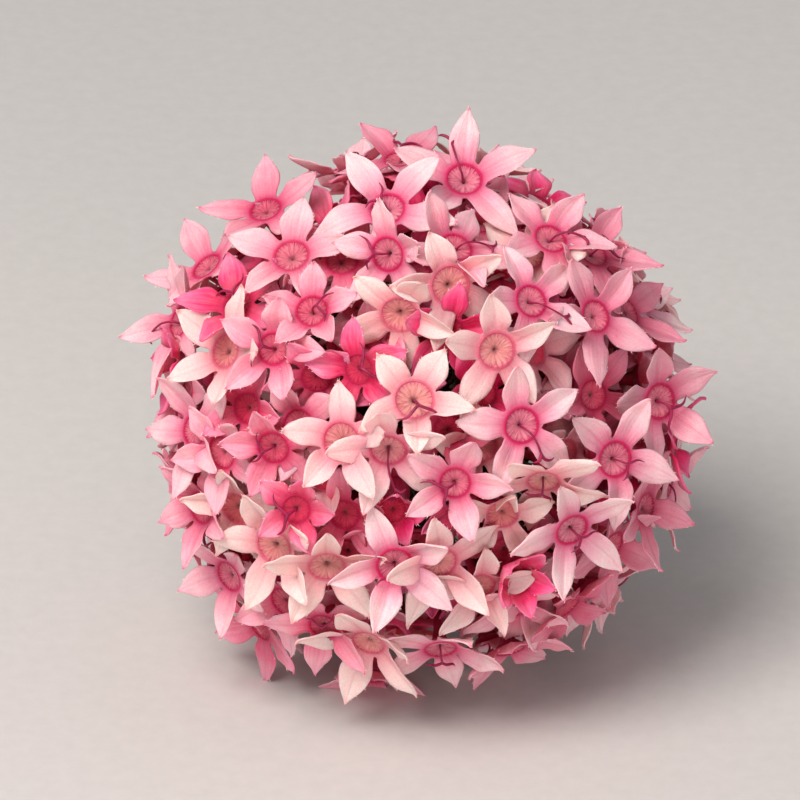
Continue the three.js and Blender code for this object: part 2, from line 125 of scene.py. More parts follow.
FLORETS = [
    # across, up, faces, tipped, turn, sunk, reach,
    # then deep, aged, painted shade (a dusky mauve), throat, style turn, style length, form
    (4.7, 25.8, 80, 32, 93, 0, 8.8, 0.16, 0.0, 0.10, 1.0, 118, 4.2, "open"),
    (-3.7, 22.4, 110, 30, 47, 0, 8.4, 0.12, 0.0, 0.0, 0.95, 135, 3.0, "open"),
    (-2.3, 28.2, 95, 62, 148, 0, 7.5, 0.45, 0.0, 0.35, 0.9, 60, 2.6, "open"),
    (-17.2, 22.6, 110, 50, 90, 0, 7.4, 0.32, 0.0, 0.05, 0.9, 0, 0, "open"),
    (-23.8, 16.4, 130, 60, 105, 0, 7.6, 0.14, 0.0, 0.0, 0.9, 0, 0, "open"),
    (-26.8, 10.2, 165, 60, 200, 0, 8.4, 0.10, 0.0, 0.0, 0.9, 201, 4.2, "open"),
    (-20.1, 12.1, 130, 42, 98, 0, 7, 0.72, 0.0, 0.0, 0.85, 100, 3.0, "open"),
    (-21.4, 6.9, 165, 45, 131, 0, 7.6, 0.12, 0.5, 0.0, 1.0, 0, 0, "open"),
    (-16.1, 7.1, 180, 22, 147, 0, 6.7, 0.36, 0.0, 0.0, 0.9, 160, 2.4, "open"),
    (-11.9, 11.2, 120, 25, 89, 0, 5.9, 0.40, 0.0, 0.0, 0.9, 10, 3.0, "open"),
    (-14.2, 17.3, 110, 35, 80, 0, 7.5, 0.22, 0.1, 0.0, 1.0, 0, 0, "open"),
    (-8.7, 16.8, 90, 30, 60, 3, 6.5, 0.60, 0.0, 0.0, 0.9, 0, 0, "open"),
    (-3.7, 17.4, 200, 30, 159, 0, 6.7, 0.22, 0.0, 0.0, 0.95, 165, 3.2, "open"),
    (3.8, 18.2, 60, 45, 64, 0, 7.5, 0.34, 0.0, 0.05, 0.9, 0, 3.4, "open"),
    (3.1, 14, 340, 20, 109, 0, 7, 0.12, 0.45, 0.0, 1.1, 0, 0, "open"),
    (11.9, 12.3, 30, 32, 43, 0, 7.2, 0.22, 0.0, 0.05, 0.9, 324, 3.8, "open"),
    (14.1, 19.2, 60, 42, 61, 0, 7.2, 0.32, 0.0, 0.15, 0.9, 0, 3.4, "open"),
    (11.7, 17.6, 90, 30, 65, 2.5, 6.5, 0.10, 0.8, 0.0, 1.0, 0, 0, "open"),
    (18.8, 17.7, 50, 50, 67, 0, 7.8, 0.40, 0.0, 0.40, 0.9, 0, 3.2, "open"),
    (19, 10.7, 20, 40, 54, 0, 7.6, 0.30, 0.0, 0.30, 0.9, 0, 0, "open"),
    (22.7, 11.3, 30, 60, 42, 1, 7.4, 0.40, 0.0, 0.55, 0.9, 0, 0, "open"),
    (26.2, 1.4, 350, 38, 39, 0, 7.8, 0.26, 0.0, 0.35, 1.0, 310, 1.8, "open"),
    (21.1, -4.9, 350, 30, 65, 0, 7.8, 0.22, 0.0, 0.10, 1.0, 330, 3.2, "open"),
    (10.8, -1.2, 340, 22, 34, 0, 7.8, 0.18, 0.0, 0.0, 1.0, 308, 3.6, "open"),
    (3.6, -7.4, 280, 15, 69, 0, 6.4, 0.34, 0.0, 0.05, 0.85, 203, 2.4, "open"),
    (-3.6, -3.9, 265, 38, 174, 0, 7.4, 0.14, 0.3, 0.0, 1.0, 275, 4.6, "open"),
    (-0.8, 1.6, 60, 12, 59, 0, 6.6, 0.06, 0.55, 0.0, 1.1, 290, 2.0, "open"),
    (-8.7, -2.9, 190, 25, 90, 0, 6.9, 0.14, 0.4, 0.0, 1.1, 0, 0, "open"),
    (8.1, 6.9, 330, 20, 26, 0, 7.2, 0.12, 0.45, 0.0, 1.05, 0, 0, "open"),
    (3, 9, 300, 20, 12, 3, 6, 0.95, 0.0, 0.0, 0.8, 0, 0, "open"),
    (-2.4, 10.8, 250, 30, 202, 1, 6.8, 0.20, 0.6, 0.0, 1.05, 0, 0, "open"),
    (-6.8, 4.9, 200, 25, 168, 1.5, 6, 0.88, 0.0, 0.0, 0.85, 20, 3.0, "open"),
    (-11.4, 4, 260, 30, 260, 3, 6, 0.70, 0.0, 0.0, 0.85, 0, 0, "open"),
    (-19, 0.7, 180, 35, 347, 1.5, 6, 0.60, 0.0, 0.0, 0.85, 0, 0, "open"),
    (-24.9, -1.8, 180, 50, 179, 0, 7.8, 0.08, 0.0, 0.0, 0.9, 0, 0, "open"),
    (-21.8, -4.2, 200, 45, 271, 0.5, 6.4, 0.22, 0.0, 0.0, 0.9, 0, 0, "open"),
    (-16.1, -3.6, 230, 30, 248, 0.5, 6, 0.50, 0.0, 0.0, 0.9, 180, 2.6, "open"),
    (-13.4, -1.2, 180, 25, 110, 2.5, 6, 0.35, 0.0, 0.0, 0.9, 0, 0, "open"),
    (-13.6, -10.3, 240, 15, 68, 0, 5, 0.72, 0.0, 0.0, 0.8, 200, 2.0, "open"),
    (-24.2, -10.3, 195, 50, 190, 0, 6.8, 0.30, 0.0, 0.0, 0.9, 0, 0, "open"),
    (-20.1, -10.4, 230, 40, 240, 1.5, 6.4, 0.30, 0.6, 0.0, 1.0, 0, 0, "open"),
    (-16.1, -14.4, 215, 40, 166, 0, 8.2, 0.08, 0.55, 0.0, 1.1, 0, 0, "open"),
    (-21.2, -17.9, 210, 55, 182, 0, 7, 0.12, 0.0, 0.0, 0.9, 0, 0, "open"),
    (-10.3, -16.6, 270, 45, 15, 0, 7.4, 0.10, 0.8, 0.0, 1.05, 0, 0, "open"),
    (-2.9, -16.4, 280, 22, 112, 0, 8, 0.12, 0.0, 0.0, 1.0, 250, 2.5, "open"),
    (2.1, -16.2, 300, 40, 30, 1, 7.8, 0.10, 0.4, 0.0, 0.95, 0, 0, "open"),
    (6.3, -18.8, 290, 45, 310, 1.5, 6.8, 0.10, 0.4, 0.0, 0.9, 0, 0, "folded"),
    (10.2, -17.7, 320, 35, 0, 1, 5.6, 0.90, 0.0, 0.0, 0.8, 0, 0, "half"),
    (12.1, -19.6, 330, 45, 345, 2.5, 6.4, 0.24, 0.0, 0.0, 0.9, 0, 0, "open"),
    (13.2, -7.3, 270, 55, 251, 0, 7.6, 0.08, 0.5, 0.0, 0.9, 250, 2.2, "open"),
    (16.4, -12.6, 310, 45, 332, 0, 8, 0.12, 0.0, 0.0, 0.95, 330, 3.0, "open"),
    (24.7, -10.4, 350, 60, 346, 0, 7.2, 0.40, 0.0, 0.50, 0.9, 0, 0, "open"),
    (21, -14.6, 330, 60, 350, 1, 6.8, 0.40, 0.0, 0.50, 0.9, 0, 0, "open"),
    (16, -21.3, 310, 70, 4, 0, 6.4, 0.60, 0.0, 0.45, 0.9, 0, 0, "open"),
    (9.8, -26, 285, 72, 346, 0, 6.8, 0.40, 0.0, 0.30, 0.9, 0, 0, "open"),
    (10.4, -21.2, 280, 60, 261, 1, 6.4, 0.34, 0.0, 0.10, 0.9, 0, 0, "open"),
    (2.1, -25.8, 275, 62, 300, 0, 7.5, 0.24, 0.0, 0.0, 0.9, 280, 3.0, "open"),
    (-5.4, -29.3, 265, 70, 279, 0, 6.2, 0.48, 0.0, 0.0, 0.85, 0, 0, "open"),
    (-5.8, -25.1, 250, 55, 242, 0, 8.2, 0.08, 0.5, 0.0, 0.95, 0, 0, "open"),
    (-18, -23.7, 215, 65, 176, 0, 7.2, 0.52, 0.0, 0.0, 0.9, 0, 0, "open"),
    (-10.7, -23.3, 250, 45, 176, 0, 6.8, 0.48, 0.0, 0.0, 0.85, 90, 2.4, "open"),
    (-15.1, -20.7, 220, 50, 190, 1.5, 6.6, 0.34, 0.0, 0.0, 0.9, 0, 0, "open"),
    (-8.4, -10.9, 250, 25, 100, 4, 6.2, 0.70, 0.0, 0.0, 0.85, 0, 0, "open"),
    (-3.1, -10.4, 280, 20, 300, 4, 5, 0.95, 0.0, 0.0, 0.75, 0, 0, "half"),
    (8.8, -10.9, 280, 35, 80, 2.5, 5.8, 0.35, 0.8, 0.0, 0.9, 0, 0, "folded"),
    (18.8, 2.1, 0, 35, 200, 4, 6.8, 0.60, 0.0, 0.50, 0.85, 0, 0, "open"),
    (24.3, -1.8, 0, 50, 250, 4, 6.4, 0.50, 0.0, 0.60, 0.85, 0, 0, "open"),
    (6.3, -3.4, 300, 20, 30, 4, 6, 0.30, 0.7, 0.0, 1.0, 0, 0, "open"),
    (-6.8, -21.2, 260, 45, 300, 4, 6, 0.60, 0.0, 0.0, 0.85, 0, 0, "open"),
    (6.6, 21.3, 80, 40, 350, 4, 6.2, 0.50, 0.0, 0.10, 0.85, 0, 0, "open"),
    (-26.2, -7.3, 190, 70, 180, 1.5, 6.6, 0.40, 0.0, 0.25, 0.9, 0, 0, "open"),
]
print(len(FLORETS), "florets on the open side")

# %% [markdown]
# Three directions turn a floret's line in the list into a place in the room: across the open side, up it,
# and straight out of it. The closed side is filled by the golden angle, the turn by which plants set one
# floret after the next, with the same seed as the solid model, so both have the same florets.

# %% Directions, and the frame of each floret


def in_upright_plane(elevation):
    """A unit vector in the plane of -Y and +Z, so many degrees up from -Y."""
    return np.array((0.0, -math.cos(math.radians(elevation)), math.sin(math.radians(elevation))))


def unit(vector):
    return vector / np.linalg.norm(vector)


ACROSS = np.array((1.0, 0.0, 0.0))
OPEN_UP = in_upright_plane(90 + OPEN_SIDE_ELEVATION)
TO_OPEN_SIDE = in_upright_plane(OPEN_SIDE_ELEVATION)
GROWTH = in_upright_plane(GROWTH_ELEVATION)


def seen_along(axis, degrees):
    """The direction in a floret's own plane that is seen at this angle from the open side."""
    seen = ACROSS * math.cos(math.radians(degrees)) + OPEN_UP * math.sin(math.radians(degrees))
    return unit(np.cross(axis, np.cross(seen, TO_OPEN_SIDE)))


PINKER_LEFT = 0.2  # how much deeper the pink gets towards the left
PINKER_FROM, PINKER_OVER = 8, 15  # mm left of the middle where that starts, and over how many it grows


def listed_floret(line):
    x, y, faces, tipped, turn, sunk, reach, deep, aged, painted_shade, size, style_turn, style_length, form = line
    depth = math.sqrt(max(0.0, (THROAT_DISTANCE - sunk) ** 2 - x * x - y * y))
    throat = HEAD_MIDDLE + ACROSS * x + OPEN_UP * y + TO_OPEN_SIDE * depth
    sideways = math.sin(math.radians(tipped))
    axis = TO_OPEN_SIDE * math.cos(math.radians(tipped))
    axis = axis + ACROSS * sideways * math.cos(math.radians(faces))
    axis = axis + OPEN_UP * sideways * math.sin(math.radians(faces))
    return {
        "throat": throat,
        "axis": axis,
        "petal": seen_along(axis, turn),
        "style": seen_along(axis, style_turn),
        "style_length": style_length,
        "reach": reach,
        "look": (deep + PINKER_LEFT * min(1, max(0, (-x - PINKER_FROM) / PINKER_OVER)), aged, painted_shade),
        "size": size,
        "form": form,
    }


florets = [listed_floret(line) for line in FLORETS]

# %% The florets of the closed side
SPIRAL_COUNT = 150
SPIRAL_LIMIT = 128
GOLDEN_ANGLE = 137.508
LEAST_SPACING = 7.3
OPEN_SIDE_LIMIT = 0.3
DEEPEST = 2.5
CLOSED_SIDE_REACH = (6.4, 7.8)
CLOSED_SIDE_LEAN = 0.15
MULTIPLIER, INCREMENT, MODULUS = 1664525, 1013904223, 2 ** 32
SECOND = np.cross(GROWTH, ACROSS)


def solid_model_draws(state):
    """The solid model's own seeded draws."""
    while True:
        state = (state * MULTIPLIER + INCREMENT) % MODULUS
        yield state / MODULUS


def spiral_direction(index, limit, count):
    """Straight out of the head at one step of the spiral round the growth line."""
    height = 1 - (1 - math.cos(math.radians(limit))) * (index + 0.5) / count
    ring = math.sqrt(1 - height * height)
    angle = math.radians(index * GOLDEN_ANGLE)
    return GROWTH * height + ACROSS * ring * math.cos(angle) + SECOND * ring * math.sin(angle)


draws = solid_model_draws(5)
looks = random.Random(23)
for index in range(SPIRAL_COUNT):
    outward = spiral_direction(index, SPIRAL_LIMIT, SPIRAL_COUNT)
    turn = next(draws) * 2 * math.pi
    reach = CLOSED_SIDE_REACH[0] + (CLOSED_SIDE_REACH[1] - CLOSED_SIDE_REACH[0]) * next(draws)
    throat = HEAD_MIDDLE + outward * (THROAT_DISTANCE - DEEPEST * next(draws))
    if outward @ TO_OPEN_SIDE > OPEN_SIDE_LIMIT:
        continue
    if min(np.linalg.norm(throat - other["throat"]) for other in florets) < LEAST_SPACING:
        continue
    axis = unit(outward * (1 - CLOSED_SIDE_LEAN) + GROWTH * CLOSED_SIDE_LEAN)
    first = unit(np.cross(axis, ACROSS))
    petal = first * math.cos(turn) + np.cross(axis, first) * math.sin(turn)
    style_angle = looks.uniform(0, 2 * math.pi)
    florets.append({
        "throat": throat,
        "axis": axis,
        "petal": petal,
        "style": petal * math.cos(style_angle) + np.cross(axis, petal) * math.sin(style_angle),
        "style_length": looks.choice((0, 2.4, 3.0, 3.6)),
        "reach": reach,
        # the third look, 0.1, is a little painted shade on every floret of the closed side
        "look": (looks.choice((0.1, 0.16, 0.24, 0.32, 0.5)), looks.choice((0, 0, 0, 0.4)), 0.1),
        "size": looks.uniform(0.86, 1.02),
        "form": "open",
    })
print(len(florets), "florets in all")

# %% [markdown]
# ## Materials
#
# Colours are written as sRGB hex and turned to linear by one function. Another adds a node with its
# settings and links. A material is a short chain of such nodes that ends at its shader.

# %% Colour and node helpers
MIXED = {"data_type": "RGBA"}  # a mix of the colours at inputs 6 and 7
MULTIPLIED = {"data_type": "RGBA", "blend_type": "MULTIPLY"}


def linear(code):
    """An sRGB hex colour as the linear values that a shader takes."""
    parts = [int(code[i:i + 2], 16) / 255 for i in (1, 3, 5)]
    return [p / 12.92 if p <= 0.04045 else ((p + 0.055) / 1.055) ** 2.4 for p in parts] + [1.0]


def connect(material, node, links):
    """Links other nodes, or single outputs of theirs, to this node's inputs."""
    for name, source in links.items():
        if isinstance(source, bpy.types.Node):
            # a mixed colour is the third output, all other results are the first
            source = source.outputs[2 if source.bl_idname == "ShaderNodeMix" else 0]
        material.node_tree.links.new(source, node.inputs[name])


def add_node(material, kind, settings=None, links=None):
    """Adds a node. Settings name its own properties, its inputs or its colour stops; links name inputs."""
    node = material.node_tree.nodes.new("ShaderNode" + kind)
    for name, value in (settings or {}).items():
        if name == "stops":
            ramp = node.color_ramp
            while len(ramp.elements) < len(value):
                ramp.elements.new(0.5)
            for stop, (place, colour) in zip(ramp.elements, value):
                stop.position = place
                stop.color = linear(colour)
        elif isinstance(name, int) or name in node.inputs:
            node.inputs[name].default_value = linear(value) if isinstance(value, str) else value
        else:
            setattr(node, name, value)
    connect(material, node, links or {})
    return node


def new_material(name, shader):
    """A material with an empty tree but for its output and its shader, which has these settings."""
    material = bpy.data.materials.new(name)
    material.use_nodes = True
    material.node_tree.nodes.clear()
    surface = add_node(material, "BsdfPrincipled", shader)
    add_node(material, "OutputMaterial", links={"Surface": surface})
    return material, surface


# %% [markdown]
# A pentas petal is thin living tissue, near white at its tip half and pinker towards the throat, with a
# crimson line round the throat's rim. Young florets are a deep rose all over and old ones fade to cream.
# Light sinks in and comes out again, so the shader has subsurface scattering. Each vertex carries where
# it is on its petal, as "spot", and the looks of its floret, as "look". The third look is painted shade:
# florets that lie in shade are tinted towards a dusky mauve.

# %% Petal tissue
CELL_GRAIN = 0.22  # mm, coarser than the real papillae, so that it shows


def petal_tissue():
    material, surface = new_material("petal_tissue", {
        "Roughness": 0.55, "Specular IOR Level": 0.3, "Sheen Weight": 0.15, "Sheen Roughness": 0.4,
        "Subsurface Weight": 0.5, "Subsurface Radius": (1.0, 0.36, 0.34), "Subsurface Scale": 0.001,
    })
    spot = add_node(material, "Attribute", {"attribute_name": "spot"}).outputs["Vector"]
    look = add_node(material, "Attribute", {"attribute_name": "look"}).outputs["Vector"]
    body = add_node(material, "TexCoord").outputs["Object"]
    across, along, number = add_node(material, "SeparateXYZ", links={0: spot}).outputs
    deep, aged, painted_shade = add_node(material, "SeparateXYZ", links={0: look}).outputs
    position = add_node(material, "MapRange", {"From Min": -0.4, "From Max": 1.0}, {"Value": along})
    pale = add_node(material, "ValToRGB", {"stops": [
        (0.0, "#C4506E"), (0.2, "#CC4A70"), (0.26, "#C60E54"), (0.288, "#CC2064"), (0.315, "#DE6C90"),
        (0.39, "#EE9CB2"), (0.52, "#F8BEC9"), (0.7, "#FCD9D8"), (0.95, "#FBD2D3"), (1.0, "#E68CA0"),
    ]}, {"Fac": position})
    rose = add_node(material, "ValToRGB", {"stops": [
        (0.0, "#A01444"), (0.25, "#A0023C"), (0.3, "#C0064A"), (0.42, "#DE1058"),
        (0.62, "#EC3074"), (0.88, "#F26A9A"), (1.0, "#E04C84"),
    ]}, {"Fac": position})
    cream = add_node(material, "ValToRGB", {"stops": [
        (0.0, "#B87A6C"), (0.2, "#C87074"), (0.26, "#D05E76"), (0.288, "#DC7888"), (0.32, "#E89AA0"),
        (0.42, "#F2B0B1"), (0.6, "#F9CCC7"), (0.9, "#FBDAD3"), (1.0, "#E8A8A0"),
    ]}, {"Fac": position})
    streak_at = add_node(material, "CombineXYZ", links={
        0: add_node(material, "Math", {"operation": "MULTIPLY", 1: 6.0}, {0: across}),
        1: add_node(material, "Math", {"operation": "MULTIPLY", 1: 1.6}, {0: along}),
        2: number,
    })
    streaks = add_node(
        material, "TexNoise", {"Scale": 1.0, "Detail": 3.0, "Roughness": 0.55}, {"Vector": streak_at}
    )
    blotches = add_node(material, "TexNoise", {"Scale": 420.0, "Detail": 2.0}, {"Vector": body})
    blotch = add_node(
        material, "MapRange", {"From Min": 0.3, "From Max": 0.7, "To Min": -0.1, "To Max": 0.1},
        {"Value": blotches},
    )
    streak = add_node(
        material, "MapRange", {"From Min": 0.35, "From Max": 0.65, "To Min": -0.07, "To Max": 0.07},
        {"Value": streaks},
    )
    varied = add_node(material, "Math", {"operation": "ADD"}, {0: blotch, 1: streak})
    rose_share = add_node(material, "Math", {"operation": "ADD", "use_clamp": True}, {0: deep, 1: varied})
    flushed = add_node(material, "Mix", MIXED, {0: rose_share, 6: pale, 7: rose})
    ageing = add_node(material, "MapRange", {"From Max": 0.6}, {"Value": aged})
    faded = add_node(material, "Mix", MIXED, {0: ageing, 6: flushed, 7: cream})
    # painted shade: a floret that lies in shade is multiplied towards a dusky mauve
    shaded = add_node(material, "Mix", {**MULTIPLIED, 7: "#C58AAC"}, {0: painted_shade, 6: faded})
    offside = add_node(material, "Math", {"operation": "ABSOLUTE"}, {0: across})
    edge = add_node(
        material, "MapRange", {"From Min": 0.8, "From Max": 1.0, "To Max": 0.18}, {"Value": offside}
    )
    edged = add_node(material, "Mix", {**MULTIPLIED, 7: "#F3A9BA"}, {0: edge, 6: shaded})
    # painted shade: darker pink along the groove down each petal's middle, where the fold would shade it
    painted_groove_shade = add_node(
        material, "MapRange", {"From Min": 0.0, "From Max": 0.16, "To Min": 0.22, "To Max": 0.0},
        {"Value": offside},
    )
    groove_shaded = add_node(material, "Mix", {**MULTIPLIED, 7: "#E79AB0"}, {0: painted_groove_shade, 6: edged})
    cells = add_node(
        material, "TexNoise", {"Scale": 1 / (CELL_GRAIN * MM), "Detail": 1.0}, {"Vector": body}
    )
    grain = add_node(
        material, "MapRange", {"From Min": 0.35, "From Max": 0.65, "To Min": 0.0, "To Max": 0.16},
        {"Value": cells},
    )
    grained = add_node(material, "Mix", {**MULTIPLIED, 7: "#E8909C"}, {0: grain, 6: groove_shaded})
    heights = add_node(material, "Math", {"operation": "MULTIPLY_ADD", 1: 0.35}, {0: cells, 2: streaks})
    relief = add_node(material, "Bump", {"Strength": 0.5, "Distance": 0.2 * MM}, {"Height": heights})
    connect(material, surface, {"Base Color": grained, "Normal": relief})
    return material


PETAL_TISSUE = petal_tissue()
print(len(PETAL_TISSUE.node_tree.nodes), "nodes in", PETAL_TISSUE.name)

# %% [markdown]
# The throat is closed by a brush of hairs that point to the middle. Seen from a step away it is a
# salmon disc with fine pale and dark rays round a hole, and it is crimson in the youngest florets. Round
# the hole the disc darkens almost to black with painted shade, where it goes down into the tube.
# The rays are noise read round the circle. Here "spot" is the place on the brush before it is set.

# %% Throat brush
THROAT_RADIUS = 1.9  # mm, where the disc's colours end
RAY_TURNS = 7  # how often the noise changes round the circle


def throat_brush():
    material, surface = new_material(
        "throat_brush", {"Roughness": 0.8, "Specular IOR Level": 0.2, "Sheen Weight": 0.3}
    )
    spot = add_node(material, "Attribute", {"attribute_name": "spot"}).outputs["Vector"]
    look = add_node(material, "Attribute", {"attribute_name": "look"}).outputs["Vector"]
    deep, aged, _ = add_node(material, "SeparateXYZ", links={0: look}).outputs
    level = add_node(material, "VectorMath", {"operation": "MULTIPLY", 1: (1, 1, 0)}, {0: spot})
    direction = add_node(material, "VectorMath", {"operation": "NORMALIZE"}, {0: level})
    rays_at = add_node(
        material, "VectorMath", {"operation": "MULTIPLY_ADD", 1: (RAY_TURNS, RAY_TURNS, RAY_TURNS)},
        {0: direction, 2: spot},
    )
    rays = add_node(material, "TexNoise", {"Scale": 1.0, "Detail": 2.0}, {"Vector": rays_at})
    radius = add_node(material, "VectorMath", {"operation": "LENGTH"}, {0: level}).outputs["Value"]
    outwards = add_node(material, "Math", {"operation": "DIVIDE", 1: THROAT_RADIUS}, {0: radius})
    # painted shade: the darkest stops at the middle stand for the shade down the hole into the tube
    young = add_node(material, "ValToRGB", {"stops": [
        (0.0, "#5A0A22"), (0.09, "#94284A"), (0.3, "#CC6480"), (0.7, "#DE7E98"), (0.95, "#BC2A60"),
    ]}, {"Fac": outwards})
    old = add_node(material, "ValToRGB", {"stops": [
        (0.0, "#4A1E1C"), (0.09, "#96504E"), (0.3, "#D88A86"), (0.7, "#E39A96"), (0.95, "#D4687E"),
    ]}, {"Fac": outwards})
    ageing = add_node(material, "MapRange", {"From Max": 0.5}, {"Value": aged})
    disc = add_node(material, "Mix", MIXED, {0: ageing, 6: young, 7: old})
    pale_rays = add_node(
        material, "MapRange", {"From Min": 0.45, "From Max": 0.7, "To Max": 0.3}, {"Value": rays}
    )
    lit = add_node(material, "Mix", {**MIXED, 7: "#F0B8B0"}, {0: pale_rays, 6: disc})
    dark_rays = add_node(
        material, "MapRange", {"From Min": 0.5, "From Max": 0.36, "To Max": 0.42}, {"Value": rays}
    )
    rayed = add_node(material, "Mix", {**MULTIPLIED, 7: "#C87486"}, {0: dark_rays, 6: lit})
    youth = add_node(
        material, "MapRange", {"From Min": 0.12, "From Max": 0.75, "To Max": 0.92}, {"Value": deep}
    )
    tinted = add_node(material, "Mix", {**MULTIPLIED, 7: "#EC4488"}, {0: youth, 6: rayed})
    relief = add_node(material, "Bump", {"Strength": 0.6, "Distance": 0.2 * MM}, {"Height": rays})
    connect(material, surface, {"Base Color": tinted, "Normal": relief})
    return material


THROAT_BRUSH = throat_brush()
print(len(THROAT_BRUSH.node_tree.nodes), "nodes in", THROAT_BRUSH.name)

# %% [markdown]
# The smaller parts are all matt plant tissue, whose cells give two close colours in fine grains. So one
# function makes them: silky pale hairs, a dark wine style, a crimson tube, a grey-green downy calyx and
# the green of packed stalks, darkened almost to black with painted shade. The table is a pale matt board,
# made in the same way.

# %% Hairs, style, tube, calyx, stalks and table


def speckled(name, dark, light, grain, relief_depth, shader):
    """Plant tissue of two close colours in grains of a real size in millimetres, with a fine relief."""
    material, surface = new_material(name, shader)
    body = add_node(material, "TexCoord").outputs["Object"]
    grains = add_node(
        material, "TexNoise", {"Scale": 1 / (grain * MM), "Detail": 4.0, "Roughness": 0.6}, {"Vector": body}
    )
    colour = add_node(material, "ValToRGB", {"stops": [(0.3, dark), (0.7, light)]}, {"Fac": grains})
    relief = add_node(
        material, "Bump", {"Strength": 0.5, "Distance": relief_depth * MM}, {"Height": grains}
    )
    connect(material, surface, {"Base Color": colour, "Normal": relief})
    return material


EDGE_HAIR = speckled("edge_hair", "#F4C4C4", "#FFE6E0", 0.6, 0.02, {"Roughness": 0.6})
PLANT_DOWN = speckled("plant_down", "#CFC9A4", "#EDE8D2", 0.6, 0.02, {"Roughness": 0.6})
STYLE_TISSUE = speckled(
    "style_tissue", "#6E0C36", "#A51C50", 0.9, 0.05, {"Roughness": 0.45, "Specular IOR Level": 0.4}
)
TUBE_TISSUE = speckled(
    "tube_tissue", "#8E0626", "#BC2048", 1.5, 0.05,
    {"Roughness": 0.55, "Subsurface Weight": 0.2, "Subsurface Scale": 0.0006},
)
CALYX_TISSUE = speckled(
    "calyx_tissue", "#5F6E34", "#A3A868", 0.8, 0.08, {"Roughness": 0.75, "Sheen Weight": 0.4}
)
# painted shade: the packed stalks' green is darkened almost to black, for the shade deep inside the head
SHADED_STALK_GREEN = speckled("shaded_stalk_green", "#1D2412", "#46482A", 1.2, 0.2, {"Roughness": 0.85})
TABLE_BOARD = speckled(
    "pale_matt_board", "#C6C4C0", "#CBC9C5", 2.0, 0.02, {"Roughness": 0.75, "Specular IOR Level": 0.2}
)
print("finishes:", ", ".join(sorted(m.name for m in bpy.data.materials if m.users == 0)))

# %% [markdown]
# ## One corolla
#
# The petals and the throat are one piece of tissue. It could be sculpted from a sphere, but a row of
# edges extruded outwards gives even faces that follow the petal. One fifth of the throat's ring is
# extruded up to the rim and out along one petal, and four turned copies close the ring. Solidify gives
# the tissue its thickness and one subdivision rounds it. It is modelled spread flat. The throat, the
# brush, the tube and the calyx all start as such a ring, so one function makes them.

# %% Rings extruded through rows
FIFTH = 72


def ring_through(name, rows, corners, one_fifth=False):
    """A ring with so many corners, extruded through rows of radius and height. It stays in edit mode."""
    bpy.ops.object.select_all(action="DESELECT")
    bpy.ops.mesh.primitive_circle_add(vertices=corners, radius=rows[0][0], enter_editmode=True)
    ring = bpy.context.object
    ring.name = name
    if one_fifth:
        pick(ring, lambda co: abs(math.degrees(math.atan2(co.y, co.x))) > FIFTH / 2 + 1)
        bpy.ops.mesh.delete(type="VERT")
        bpy.ops.mesh.select_all(action="SELECT")
    bpy.ops.transform.translate(value=(0, 0, rows[0][1]))
    for (radius, height), (next_radius, next_height) in zip(rows, rows[1:]):
        wider = next_radius / radius
        next_row((0, 0, next_height - height), (wider, wider, 1))
    return ring


def closed_by_turned_copies():
    """In edit mode, adds four turned copies of one fifth, merges them and leaves edit mode."""
    bpy.ops.mesh.select_all(action="SELECT")
    bpy.ops.mesh.spin(steps=4, dupli=True, angle=math.radians(4 * FIFTH), center=(0, 0, 0), axis=(0, 0, 1))
    bpy.ops.mesh.select_all(action="SELECT")
    bpy.ops.mesh.remove_doubles(threshold=0.01)
    bpy.ops.mesh.normals_make_consistent(inside=False)
    bpy.ops.object.mode_set(mode="OBJECT")


def face_up(piece):
    """Turns the faces over if most of them look down."""
    if sum(face.normal.z * face.area for face in piece.data.polygons) < 0:
        piece.data.flip_normals()


# %% Model the corolla, spread flat
RIM = 2.0
PETAL_TIP = 7.0
TISSUE = 0.2
THROAT_ROWS = [(1.2, -0.9), (1.66, -0.34), (1.88, 0.1), (RIM, 0.0)]  # radius, height
PETAL_ROWS = [  # how far out the row's middle is, half its width, how far its ends lag behind
    (2.22, 1.322, 0.40), (2.7, 1.44, 0.38), (3.4, 1.70, 0.34), (4.05, 1.82, 0.30), (4.75, 1.72, 0.26),
    (5.45, 1.38, 0.20), (6.1, 0.90, 0.14), (6.55, 0.49, 0.07), (6.86, 0.18, 0.03), (PETAL_TIP, 0.05, 0.01),
]
corolla = ring_through("corolla", THROAT_ROWS, 20, one_fifth=True)
out = RIM
half = RIM * math.sin(math.radians(FIFTH / 2))
lag = RIM - RIM * math.cos(math.radians(FIFTH / 2))
for next_out, next_half, next_lag in PETAL_ROWS:
    next_row((next_out - out, 0, 0), (next_lag / lag, next_half / half, 1), (out, 0, 0))
    out, half, lag = next_out, next_half, next_lag
closed_by_turned_copies()
face_up(corolla)
finish_with(corolla, "SOLIDIFY", thickness=TISSUE, offset=-1)
bpy.ops.object.shade_smooth()
bpy.ops.object.duplicate()
inner_corolla = bpy.context.object
inner_corolla.name = "inner_corolla"
finish_with(corolla, "SUBSURF", levels=1, render_levels=1)
for each in (corolla, inner_corolla):
    each.data.materials.append(PETAL_TISSUE)
    print(each.name, "-", len(each.data.vertices), "vertices,", triangles_of(each), "triangles")

# %% [markdown]
# The brush of throat hairs is a dished disc inside the rim, made by extruding a ring inwards, with single
# hairs standing over it. The hairs are thin cones, modelled once for each ring and spun round.

# %% Model the throat brush and its hairs
BRUSH_ROWS = [(1.84, -0.06), (1.35, -0.3), (0.8, -0.46), (0.28, -0.6), (0.1, -0.95)]
brush = ring_through("brush", BRUSH_ROWS, 20)
bpy.ops.mesh.edge_face_add()
bpy.ops.object.mode_set(mode="OBJECT")
face_up(brush)
brush.data.materials.append(THROAT_BRUSH)
bpy.ops.object.shade_smooth()

